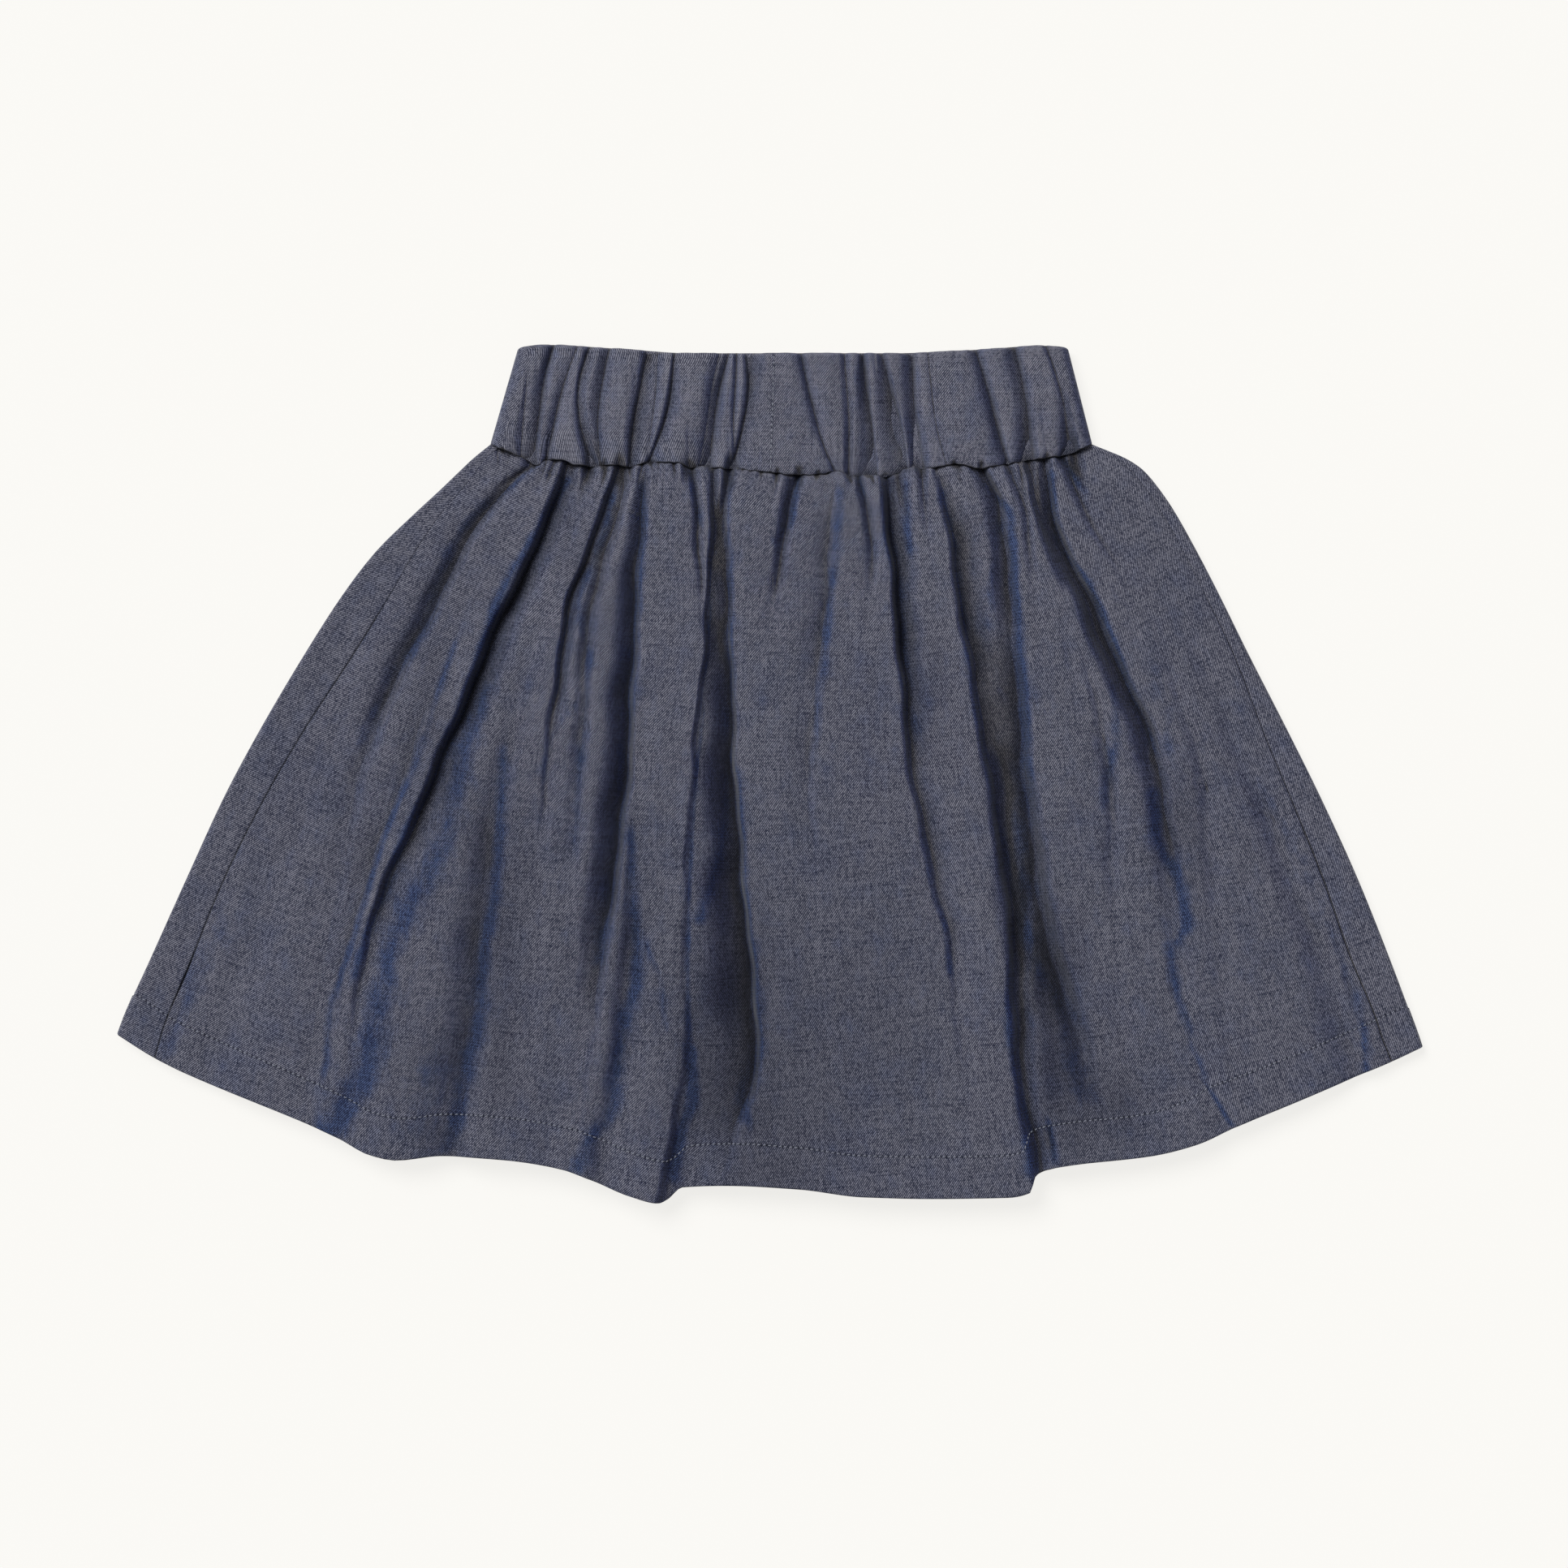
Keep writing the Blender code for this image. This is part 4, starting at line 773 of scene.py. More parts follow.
def travelled(points):
    """Length run so far along rows of points."""
    steps = np.linalg.norm(np.diff(points, axis=0), axis=-1)
    return np.concatenate([np.zeros_like(steps[:1]), np.cumsum(steps, axis=0)])


def evened(values):
    """Each row's values averaged with those of the rows beside it."""
    padded = np.pad(values, [(0, 0), (EVEN_ROWS, EVEN_ROWS)], mode="edge")
    shifts = range(2 * EVEN_ROWS + 1)
    return sum(padded[:, shift : shift + values.shape[1]] for shift in shifts) / len(shifts)


def weave_places(points, breaks):
    """The place of each face's corners in the flat cloth, in metres across and up the grain. The grain
    follows the middle of each lobe between two breaks."""
    places = np.empty((points.shape[0] - 1, points.shape[1] - 1, 4, 2))
    for first, last in zip(breaks, breaks[1:]):
        lobe = points[first : last + 1]
        middle = (last - first) // 2
        centre = lobe[middle]
        down = np.gradient(centre[:, :2], axis=0)
        down /= np.maximum(np.linalg.norm(down, axis=1), 1e-9)[:, None]
        right = np.stack([-down[:, 1], down[:, 0]], axis=1)
        arc, run = travelled(lobe), travelled(lobe[..., :2])
        arc, run = np.abs(arc - arc[middle]), np.abs(run - run[middle])
        fullness = evened(np.where(run > 1e-6, arc / np.maximum(run, 1e-6), 1.0))
        offset = lobe[..., :2] - centre[None, :, :2]
        across = (offset * right).sum(axis=2) * fullness
        along = -travelled(centre)[None, :] - (offset * down).sum(axis=2)
        flat = np.stack([across, along], axis=-1)
        corners = (flat[:-1, :-1], flat[:-1, 1:], flat[1:, 1:], flat[1:, :-1])
        places[first:last] = np.stack(corners, axis=2)
    return places


def lean_left(points, outward):
    """How far the surface turns to the left at each point, from -1 to 1."""
    normal = np.cross(np.gradient(points, axis=0), np.gradient(points, axis=1))
    length = np.maximum(np.linalg.norm(normal, axis=2), 1e-12)
    return -outward * normal[..., 0] / length


def shelter(points):
    """How far the cloth on either side shuts each point in: 0 open, 1 shut."""
    shut = np.zeros(points.shape[:2])
    for way in (1, -1):
        steepest = np.zeros(points.shape[:2])
        for step in range(1, SHELTER_COLUMNS):
            near = points[:-step] if way > 0 else points[step:]
            far = points[step:] if way > 0 else points[:-step]
            run = np.hypot(far[..., 0] - near[..., 0], far[..., 1] - near[..., 1])
            steep = (far[..., 2] - near[..., 2]) / np.maximum(run, 1e-6)
            rows = slice(None, -step) if way > 0 else slice(step, None)
            steepest[rows] = np.maximum(steepest[rows], steep)
        shut += 0.5 * steepest / np.hypot(1, steepest)
    return shut


def crests(points):
    """How far the cloth falls away on either side of each point: 0 level, 1 the crest of a fold."""
    return shelter(points * (1, 1, -1))


def grid_mesh(name, points, breaks, marks, flip=False):
    """A smooth mesh on a grid of points, with the weave's places and the marks that the finish reads."""
    index = np.arange(points.shape[0] * points.shape[1]).reshape(points.shape[:2])
    corners = [index[:-1, :-1], index[:-1, 1:], index[1:, 1:], index[1:, :-1]]
    places = weave_places(points, breaks)
    if flip:
        corners, places = corners[::-1], places[:, :, ::-1]
    faces = np.stack(corners, axis=-1).reshape(-1, 4)
    mesh = bpy.data.meshes.new(name)
    mesh.from_pydata(points.reshape(-1, 3).tolist(), [], faces.tolist())
    mesh.uv_layers.new(name="weave").data.foreach_set("uv", places.astype("f").ravel())
    marks = {"lean": lean_left(points, 1 if flip else -1), **marks}
    for label, values in marks.items():
        spare = [(0, whole - part) for whole, part in zip(points.shape, values.shape)]
        values = np.pad(values, spare, mode="edge").astype("f")
        mesh.attributes.new(label, "FLOAT", "POINT").data.foreach_set("value", values.ravel())
    mesh.shade_smooth()
    return mesh


def stitch_steps(line, pitch):
    """The count of stitches run so far at each point of a line, in whole stitches over its length."""
    run = travelled(line)
    return run / run[-1] * round(run[-1] / pitch)


def add_piece(mesh, material, node):
    """Puts a piece in the scene, in the place of its solid."""
    piece = bpy.data.objects.new(mesh.name, mesh)
    mesh.materials.append(material)
    bpy.context.scene.collection.objects.link(piece)
    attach(piece, "root")
    if node:
        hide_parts(node)
    return piece


def thicken(piece):
    """Gives a panel its thickness, on the inside."""
    wall = piece.modifiers.new("cloth", "SOLIDIFY")
    wall.thickness = bpy.context.scene.skirt_cloth.thickness
    wall.offset = -1
    wall.use_quality_normals = True


class Socket:
    """A node's output, on which Python arithmetic adds Math nodes."""

    def __init__(self, graph, link):
        self.graph = graph
        self.link = link

    def _math(self, operation, *values, clamp=False):
        settings = {"operation": operation, "use_clamp": clamp}
        return self.graph.node("ShaderNodeMath", settings, dict(enumerate(values)))

    def __add__(self, other):
        return self._math("ADD", self, other)

    def __sub__(self, other):
        return self._math("SUBTRACT", self, other)

    def __rsub__(self, other):
        return self._math("SUBTRACT", other, self)

    def __mul__(self, other):
        return self._math("MULTIPLY", self, other)

    def __truediv__(self, other):
        return self._math("DIVIDE", self, other)

    __radd__ = __add__
    __rmul__ = __mul__

    def floor(self):
        return self._math("FLOOR", self)

    def fraction(self):
        return self._math("FRACT", self)

    def sine(self):
        return self._math("SINE", self)

    def held(self):
        """Kept between 0 and 1."""
        return self._math("ADD", self, 0.0, clamp=True)


class Finish:
    """A material that is being made from nodes."""

    def __init__(self, name):
        self.material = bpy.data.materials.new(name)
        self.material.use_nodes = True
        self.tree = self.material.node_tree
        self.shader = self.tree.nodes["Principled BSDF"]

    def node(self, kind, settings=None, sockets=None, output=0):
        """Adds a node with its settings, then the values or links of its sockets."""
        made = self.tree.nodes.new(kind)
        for name, value in (settings or {}).items():
            setattr(made, name, value)
        for name, value in (sockets or {}).items():
            self.fill(made.inputs[name], value)
        return Socket(self, made.outputs[output])

    def fill(self, socket, value):
        if isinstance(value, Socket):
            self.tree.links.new(value.link, socket)
        else:
            socket.default_value = value

    def shine(self, **values):
        """Fills sockets of the shader, named with _ for a space."""
        for name, value in values.items():
            self.fill(self.shader.inputs[name.replace("_", " ")], value)

    def vector(self, x, y, z=0.0):
        return self.node("ShaderNodeCombineXYZ", None, {0: x, 1: y, 2: z})

    def noise(self, place, detail=1.0, scale=1.0):
        """Smooth noise from 0 to 1."""
        sockets = {"Vector": place, "Scale": scale, "Detail": detail}
        return self.node("ShaderNodeTexNoise", None, sockets)

    def places(self):
        """Where a point is in the flat cloth, across and up the grain, or along and round a thread."""
        place = self.node("ShaderNodeUVMap", {"uv_map": "weave"})
        first = self.node("ShaderNodeSeparateXYZ", None, {0: place})
        return first, Socket(self, first.link.node.outputs[1])

    def speckle(self, place):
        """A number from 0 to 1 for each whole place."""
        return self.node("ShaderNodeTexWhiteNoise", {"noise_dimensions": "3D"}, {"Vector": place})

    def mark(self, name):
        """A number that the mesh carries at each point."""
        return self.node("ShaderNodeAttribute", {"attribute_name": name}, None, 2)

    def blend(self, share, first, second, mode="MIX"):
        """A mix of two colours."""
        settings = {"data_type": "RGBA", "blend_type": mode}
        return self.node("ShaderNodeMix", settings, {0: share, 6: first, 7: second}, 2)

    def tint(self, share, colour, by):
        """A colour multiplied by another, as far as the share says."""
        return self.blend(share, colour, (*by, 1), "MULTIPLY")


def ramp(value, low, high):
    """0 at low, 1 at high."""
    return ((value - low) * (1 / (high - low))).held()


def twill_finish(name, painted_light=1.0):
    """A fine twill: pale floats over dark blue yarn. The blue shows where the cloth turns away, with
    painted sheen on the flanks that lean to the light and painted shadow on those that lean away. Painted
    shade darkens the cloth deep in the folds, greyer on their floors, beside their sharp edges and in the
    shaded patches, and a painted highlight lightens the crests. Its second argument above 1 paints the
    whole cloth paler: painted light, for cloth that catches more light."""
    cloth = bpy.context.scene.skirt_cloth
    finish = Finish(name)
    across, along = (place * (1 / MM) for place in finish.places())
    lean, shut, blue, dull, core, steps, aside = map(finish.mark, MARKS)

    wander = finish.noise(finish.vector(across * WANDER_RATE, along * WANDER_RATE)) - 0.5
    across = across + wander * WANDER
    repeat = 3 * cloth.pick_pitch
    end = (across / cloth.end_pitch).floor()
    rise = along / repeat - end / 3.0
    float_place = rise.fraction()
    over = ramp(float_place, 0.0, 0.12) * (1 - ramp(float_place, 0.52, 0.68))
    own = finish.speckle(finish.vector(end, rise.floor(), 0.5))
    wale = ((along / repeat - across / (3 * cloth.end_pitch)) * TURN).sine()
    rib = (along * (TURN / repeat)).sine()
    uneven = {
        name: finish.noise(finish.vector(across * a, along * b, layer), detail) - 0.5
        for name, (a, b, layer, detail) in UNEVEN.items()
    }

    left, right = ramp(lean, *LEFT_LEAN), ramp(lean, *RIGHT_LEAN)
    # Painted light raises the whole tone of the casing; the crests get a painted highlight, and the flanks
    # show their ribs with a little painted shade
    pale = PALE_BASE * painted_light + (over - 0.5) * FLOAT_SHARE + wale * WALE_SHARE
    pale = pale + (own - 0.45) * YARN_SHARE * over
    pale = pale + sum(uneven[name] * share for name, share in PALER.items())
    pale = pale + ramp(core, *CREST) * CREST_SHARE * painted_light**2
    pale = (pale + rib * (left + right + blue) * 0.10 - (left + right) * 0.04).held()
    weave = finish.blend(pale, (*cloth.dark_yarn, 1), (*cloth.pale_yarn, 1))

    # Blue yarn with painted sheen: in the streaks, and on flanks that lean left toward the light; cloud and
    # wash vary it at random
    patchy = uneven["cloud"] * 1.3 + uneven["ends"] * 0.7 + uneven["picks"] * 0.5
    bluer = ramp(blue + patchy * 0.45, *BLUE_SHOWS) + left * 0.30
    bluer = (bluer + uneven["cloud"] * 0.9 + uneven["wash"] * 0.7 + 0.06).held()
    # Painted shadow where the cloth leans right, painted shade on fold floors (greyer) and deep in folds,
    # in the shaded patches and beside sharp fold edges
    for share, tint in (
        (bluer, cloth.flank),
        ((right * 0.9).held(), cloth.shadow),
        (ramp(shut, *FLOOR_SHUT) * (1 - left) * (1 - right), cloth.floor),
        (ramp(shut, *DEEP_SHUT), (cloth.occluded,) * 3),
        (dull, cloth.dulled),
        (core, cloth.cores),
    ):
        weave = finish.tint(share, weave, tint)

    # Painted shade in the needle holes and along the furrow that the hem stitching pulls
    hole = ramp((steps * TURN + TURN / 4).sine(), 0.30, 0.85) * ramp(aside * aside, 0.34, 0.08)
    furrow = ramp(aside * aside, 0.85, 0.04) * 0.15
    weave = finish.tint((hole * 0.75 + furrow).held(), weave, HOLE_SHADE)
    finish.shine(Base_Color=weave, Roughness=cloth.roughness, Sheen_Weight=cloth.sheen)
    finish.shine(Sheen_Roughness=0.45, Specular_IOR_Level=0.2)
    relief = over * 0.6 + wale * 0.25 + (own - 0.5) * 0.6 + uneven["grain"] * 1.2 - hole * 2.0
    bump = {"Height": relief, "Strength": 0.6, "Distance": 0.12 * MM}
    finish.shine(Normal=finish.node("ShaderNodeBump", None, bump))
    return finish.material


def thread_finish():
    """Sewing thread, two plies twisted together."""
    sewing = bpy.context.scene.skirt_sewing
    finish = Finish("thread")
    along, around = finish.places()
    ply = ((along * 9.0 + around) * TURN).sine() * 0.5 + 0.5
    cut = finish.noise(finish.node("ShaderNodeTexCoord", None, None, 3), 2.0, 900.0)
    # Painted shade in the grooves between the plies, and uneven tone along the thread
    tone = (ply * 0.6 + cut * 0.5).held()
    dark = tuple(0.45 * channel for channel in sewing.thread)
    finish.shine(Base_Color=finish.blend(tone, (*dark, 1), (*sewing.thread, 1)))
    finish.shine(Roughness=0.6, Sheen_Weight=0.2)
    bump = {"Height": ply, "Strength": 0.5, "Distance": 0.05 * MM}
    finish.shine(Normal=finish.node("ShaderNodeBump", None, bump))
    return finish.material


def front_paths():
    """The front panel's columns, which follow its folds, and where the straight grain breaks."""
    lines = [side_line("left_seam", TRACK) + SIDE_GAP / 2]
    lines += [MM * down_fold(fold.x, TRACK) for fold in FOLDS]
    lines += [side_line("right_seam", TRACK) - SIDE_GAP / 2]
    parts = crowded(FOLD_COLUMNS, 0.65)
    paths = [a + part * (b - a) for a, b in zip(lines, lines[1:]) for part in parts]
    names = [fold.name for fold in FOLDS]
    breaks = [FOLD_COLUMNS * (names.index(name) + 1) for name in GRAIN_FOLDS]
    return np.array([*paths, lines[-1]]), [0, *breaks, len(paths)]


def front_surface():
    """The front panel's outer side as points, the share and the way down, the way up from the hem, and
    the breaks of its grain."""
    paths, breaks = front_paths()
    x, y, share, down, up = lay_columns(paths, HEM)
    z = front_height(x, y, share, down, up)
    return np.stack([x, y, z], axis=-1), share, down, up, breaks


def streaks(points):
    """How much of the blue yarn shows at each point, from 0 to 1, partly the cloth's own blue and partly
    painted sheen.
    """
    x, y = points[..., 0] / MM, points[..., 1] / MM
    blue = np.zeros_like(x)
    for streak in STREAKS:
        place = np.array(streak.line)[::-1]
        down = np.clip((place[-1, 1] - y) / (place[-1, 1] - place[0, 1]), 0, 1)
        (thin, wide), (weak, strong) = streak.widths, streak.strengths
        offset = x - smooth_line(place[:, ::-1], y)
        beyond = np.maximum(y - place[-1, 1], place[0, 1] - y)
        fade = ease(1 - beyond / 4)
        shows = (weak + down * (strong - weak)) * fade * bell(offset, thin + down * (wide - thin))
        blue = np.maximum(blue, shows)
    return blue


def hem_line(points, up):
    """The points of a panel's surface that its hem stitching follows."""
    return np.array([
        [np.interp(hem_stitch_height(), rise[::-1], column[::-1, axis]) for axis in range(3)]
        for column, rise in zip(points, up)
    ])


def hem_marks(points, up):
    """What the finish reads to place the needle holes of the hem."""
    steps = stitch_steps(hem_line(points, up), bpy.context.scene.skirt_sewing.stitch_pitch)
    return {"steps": steps[:, None] + 0 * up, "aside": (up - hem_stitch_height()) / MM}


def make_front_panel():
    """The front panel, with its folds and its turned hem."""
    surface, share, down, up, breaks = front_surface()
    x, y = surface[..., 0], surface[..., 1]
    # Painted shade beside the folds' sharp edges, where the cloth is shut in, in the seam pits and at the
    # seams; painted highlight on the crests
    cores = fold_cores(x, y, share)
    shut = shelter(surface) + seam_pits(x, down, dark=True)
    shut = np.clip(shut + seam_shade(FRONT_SHADES, x, y, down), 0, 1)
    marks = {"shelter": shut, "blue": streaks(surface) * (1 - 0.3 * cores), "dull": dullness(surface)}
    marks.update(core=cores - crests(surface), **hem_marks(surface, up))
    radius = bpy.context.scene.skirt_sewing.hem_radius
    points = turn_under(surface, radius, np.ones(len(surface)))
    mesh = grid_mesh("front_panel_cloth", points, breaks, marks)
    thicken(add_piece(mesh, twill_finish("front_twill"), "front_panel"))


def back_paths():
    """The back panel's columns, each with its path, its level and its hem, and where its grain breaks."""
    radius = EDGE_TOP / 2
    sides = []
    for fold, seam, inward in (("left_fold", "left_seam", 1), ("right_fold", "right_seam", -1)):
        start = side_line(seam, TRACK) - inward * SIDE_GAP / 2
        end = side_line(fold, TRACK) + inward * radius
        side = [(start + part * (end - start), EDGE_TOP, HEM) for part in crowded(STRIP_COLUMNS, 0.5)]
        for angle in np.linspace(0, np.pi, BEND_STEPS + 1):
            out = radius * (1 - np.sin(angle) ** 0.6)
            hem = HEM if angle < 3 else BACK_HEM
            rise = np.sign(np.cos(angle)) * np.abs(np.cos(angle)) ** 0.6
            side.append((side_line(fold, TRACK) + inward * out, radius * (1 + rise), hem))
        sides.append(side)
    left, right = sides[0][-1][0], sides[1][-1][0]
    parts = np.linspace(0, 1, BACK_COLUMNS + 2)[1:-1]
    sheet = [(left + part * (right - left), 0.0, BACK_HEM) for part in parts]
    breaks = [0, len(sides[0]) - 1, len(sides[0]) + len(sheet)]
    columns = sides[0] + sheet + sides[1][::-1]
    return columns, [*breaks, len(columns) - 1]


def back_surface():
    """The back panel's outer side as points, its level at each column, the ways down from the seam and
    up from the hem, and the breaks of its grain."""
    columns, breaks = back_paths()
    level = np.array([z for _, z, _ in columns])
    laid = [lay_columns(path[None], hem) for path, _, hem in columns]
    x, y, _, down, up = (np.concatenate(parts) for parts in zip(*laid))
    z = level[:, None] + 0 * x
    flat, top = level < 1e-9, level > EDGE_TOP - 1e-9
    stitched = bell(up[flat] - hem_stitch_height(), BACK_FURROW_HALF)
    z[flat] = back_lift(x[flat], y[flat], down[flat]) + HEM_FURROW * stitched
    relief = BACK_RIPPLE * ripple(x, y) * ease(down / RIPPLE_START) - BACK_DIP * bell(down, TUCK_REACH)
    relief -= SIDE_GROOVE * side_groove(x, y, SIDE_GROOVE_HALF)
    relief += hem_relief(up) - HEM_STEP * ease((hem_stitch_height() - up) / MM + 1)
    z[top] += relief[top]
    return np.stack([x, y, z], axis=-1), level, down, up, breaks


def make_back_panel():
    """The back panel, which comes round both side folds onto the top."""
    surface, level, down, up, breaks = back_surface()
    # Painted shade at the waist seam and at the side seams
    shut = np.clip(seam_shade(BACK_SHADES, surface[..., 0], surface[..., 1], down), 0, 1)
    marks = {label: np.zeros_like(shut) for label in MARKS}
    marks.update(shelter=shut, **hem_marks(surface, up))
    inward = np.where(level > EDGE_TOP / 2, 1.0, -1.0)
    points = turn_under(surface, BACK_ROLL, inward)
    mesh = grid_mesh("back_panel_cloth", points, breaks, marks, flip=True)
    thicken(add_piece(mesh, twill_finish("back_twill"), "back_panel"))


def band_place(part, up, outward=0.0):
    """A place on the band at a share of its width and of its height, moved out past its side fold."""
    bottom_x = seam_x(part) + outward
    top_x = BAND_TOP[0][0] + part * (BAND_TOP[-1][0] - BAND_TOP[0][0]) + outward
    bottom = smooth_line(SEAM_LINE, bottom_x) + SEAM_GAP / 2
    top = smooth_line(BAND_TOP, top_x)
    return bottom_x + up * (top_x - bottom_x), bottom + up * (top - bottom)


def casing_relief(x, up):
    """How far the casing's front stands above or sinks below its even face: puffs between clefts."""
    sunk, soft = np.zeros_like(x), np.zeros_like(x)
    left, right = np.full_like(x, PUFF_FULL), np.full_like(x, PUFF_FULL)
    from_seam = up * BAND_TALL
    pinch = 1.20 + 0.3 * np.exp(-from_seam / (3 * MM))
    for index, crease in enumerate(BAND_CREASES):
        top, middle, seam = crease.x
        line = top * up * (2 * up - 1) + 4 * middle * up * (1 - up) + seam * (1 - up) * (1 - 2 * up)
        offset = x - MM * line + 0.15 * MM * np.sin(9 * up + index)
        left = np.where(offset > 0, np.minimum(left, offset), left)
        right = np.where(offset > 0, right, np.minimum(right, -offset))
        depth, *flanks = (b + up * (a - b) for a, b in (crease.depth, crease.left, crease.right))
        depth = MM * pinch * depth * (1 + 0.15 * np.sin(7 * up + 2.4 * index))
        sunk = np.maximum(sunk, depth * trough(offset / MM, *flanks, crease.turns))
        wide = (0.8 + 2.2 * flank for flank in flanks)
        soft = np.maximum(soft, depth * trough(offset / MM, *wide, (2, 2)))
    for index in range(FINE_CREASES):
        start = seam_x(scatter(index))
        offset = x - start + 3 * MM * np.sin(3.7 * index) * (up - 0.5) + 0.04 * start * up
        reach = scatter(index, SECOND_STEP, FINE_REACHES)
        depth = scatter(index, THIRD_STEP, FINE_DEPTHS)
        fade = ease((reach - (up if index % 2 else 1 - up)) / 0.3)
        sunk = np.maximum(sunk, depth * fade * cleft(offset, FINE_HALF))
    puff = PUFF_HEIGHT * np.tanh(np.sqrt(left * right) / PUFF_HALF)
    near = np.exp(-np.minimum(from_seam, BAND_TALL - from_seam) / (4 * MM))
    fine = 0.10 * MM * pucker(x + 0.004 * np.sin(up * 5)) * (0.3 + 0.9 * near)
    pulled = 0.35 * MM * bell(from_seam, 0.8 * MM)
    pulled = pulled + BAND_PIT_STRENGTH * MM * seam_pits(x, 1.6 * from_seam)
    return puff + fine + BAND_RIPPLE * ripple(x * 2.2, up * 0.02) - sunk - 0.8 * soft - pulled


def make_waistband():
    """The casing over its elastic, as a ring of cloth pressed flat, front and back."""
    inset = BAND_HALF / WAIST_WIDTH
    turn = np.linspace(0, np.pi, BEND_STEPS + 1)[1:-1]
    front, back = np.linspace(inset, 1 - inset, BAND_FRONT), np.linspace(1 - inset, inset, BAND_BACK)
    part = np.concatenate([front, np.full_like(turn, 1 - inset), back, np.full_like(turn, inset)])
    facing = np.concatenate([0 * front + 1, np.cos(turn), 0 * back - 1, -np.cos(turn)])
    lean = np.concatenate([0 * front, np.sin(turn), 0 * back, -np.sin(turn)])
    part, facing, lean = part[:, None], facing[:, None], lean[:, None]

    quarter = np.linspace(0, np.pi / 2, ROUND_STEPS + 1)
    low, high = (radius / BAND_TALL * (1 - np.cos(quarter)) for radius in (SEAM_ROUND, BAND_ROUND))
    middle = np.linspace(low[-1], 1 - high[-1], BAND_ROWS)[1:-1]
    up = np.concatenate([low, middle, (1 - high)[::-1], np.linspace(1, 0, INNER_ROWS)])[None, :]
    drop = 1 - np.sin(quarter)
    inner = np.full(INNER_ROWS, BAND_WALL)
    sunk = np.concatenate([SEAM_ROUND * drop, 0 * middle, BAND_ROUND * drop[::-1], inner])[None, :]
    outside = (sunk < BAND_WALL).astype(float)
    in_front = (facing >= 1) * outside

    x, _ = band_place(part, up)
    spots = np.sin(TURN * BAND_BACK_CREASES * part + 2.0 * np.sin(part * 37))
    relief = casing_relief(x, up + 0 * x) * (facing >= 1)
    relief = relief - BACK_CREASE_DEPTH * (0.5 + 0.5 * spots) ** 3 * (facing <= -1)
    to_fold = np.minimum(part - inset, 1 - inset - part) * WAIST_WIDTH
    within = ease(to_fold / (4 * MM)) * outside
    distance = BAND_HALF - sunk + relief * within
    x, y = band_place(part + 0 * up, up + 0 * part, lean * distance)
    notch = 0.15 * np.minimum(relief, 0) + 0.08 * MM * pucker(x * 0.6)
    y = y + notch * within * ease((up - 0.8) / 0.2)
    points = np.stack([x, y, BAND_HALF + facing * distance], axis=-1)

    from_seam = up * BAND_TALL
    # Painted shade where the casing is shut in, along its seam and in its pits; painted highlight on its
    # crests
    shut, core = np.zeros_like(x), np.zeros_like(x)
    shut[:BAND_FRONT] = shelter(points[:BAND_FRONT])
    core[:BAND_FRONT] = -crests(points[:BAND_FRONT])
    shut = shut + 0.3 * bell(from_seam, 0.35 * MM) + 0.8 * seam_pits(x, 1.6 * from_seam, dark=True)
    rise = from_seam / bpy.context.scene.skirt_sewing.stitch_pitch
    aside = np.where(facing >= 1, (part - BAND_SEAM_PART) * WAIST_WIDTH / MM, 9.0)
    marks = {"shelter": np.clip(shut, 0, 1) * in_front, "steps": rise + 0 * part, "aside": aside + 0 * up}
    marks.update(blue=0 * shut, dull=dullness(points) * (facing >= 1), core=core * outside)
    points, *rings = (np.concatenate([grid, grid[:1]]) for grid in (points, *marks.values()))
    points, *rings = (np.concatenate([grid, grid[:, :1]], axis=1) for grid in (points, *rings))
    fold = BAND_FRONT + len(turn) // 2
    breaks = [0, fold, fold + len(turn) + BAND_BACK, len(points) - 1]
    mesh = grid_mesh("waistband_casing", points, breaks, dict(zip(marks, rings)), flip=True)
    piece = add_piece(mesh, twill_finish("casing_twill", CASING_PAINTED_LIGHT), "waistband")
    weld = piece.modifiers.new("join", "WELD")
    weld.merge_threshold = 1e-6


def spaced(path, facing, pitch):
    """Places of the stitches along a line, the way that it runs there and the way that the cloth
    faces."""
    steps = stitch_steps(path, pitch)
    at = np.arange(int(steps[-1])) + 0.5

    def read(values, where):
        return np.stack([np.interp(where, steps, column) for column in values.T], axis=1)

    along = read(path, at + 0.3) - read(path, at - 0.3)
    return read(path, at), along / np.linalg.norm(along, axis=1)[:, None], read(facing, at)


def stitch_form():
    """One stitch: points and faces of a short thread with its ends drawn down, along x, 1 long."""
    t = np.linspace(-1, 1, STITCH_RINGS)
    radius = np.sqrt(np.clip(1 - t**4, 0.05, 1))
    sink = -1.3 * np.abs(t) ** 3
    angle = np.linspace(0, TURN, STITCH_SIDES, endpoint=False)
    points = [
        (0.5 * a, r * np.cos(b), r * np.sin(b) + s) for a, r, s in zip(t, radius, sink) for b in angle
    ]
    rings = np.arange(len(points)).reshape(STITCH_RINGS, STITCH_SIDES)
    ahead = np.roll(rings, -1, axis=1)
    sides = np.stack([rings[1:], ahead[1:], ahead[:-1], rings[:-1]], axis=-1).reshape(-1, 4)
    return np.array(points), [*sides.tolist(), rings[0].tolist(), rings[-1, ::-1].tolist()]


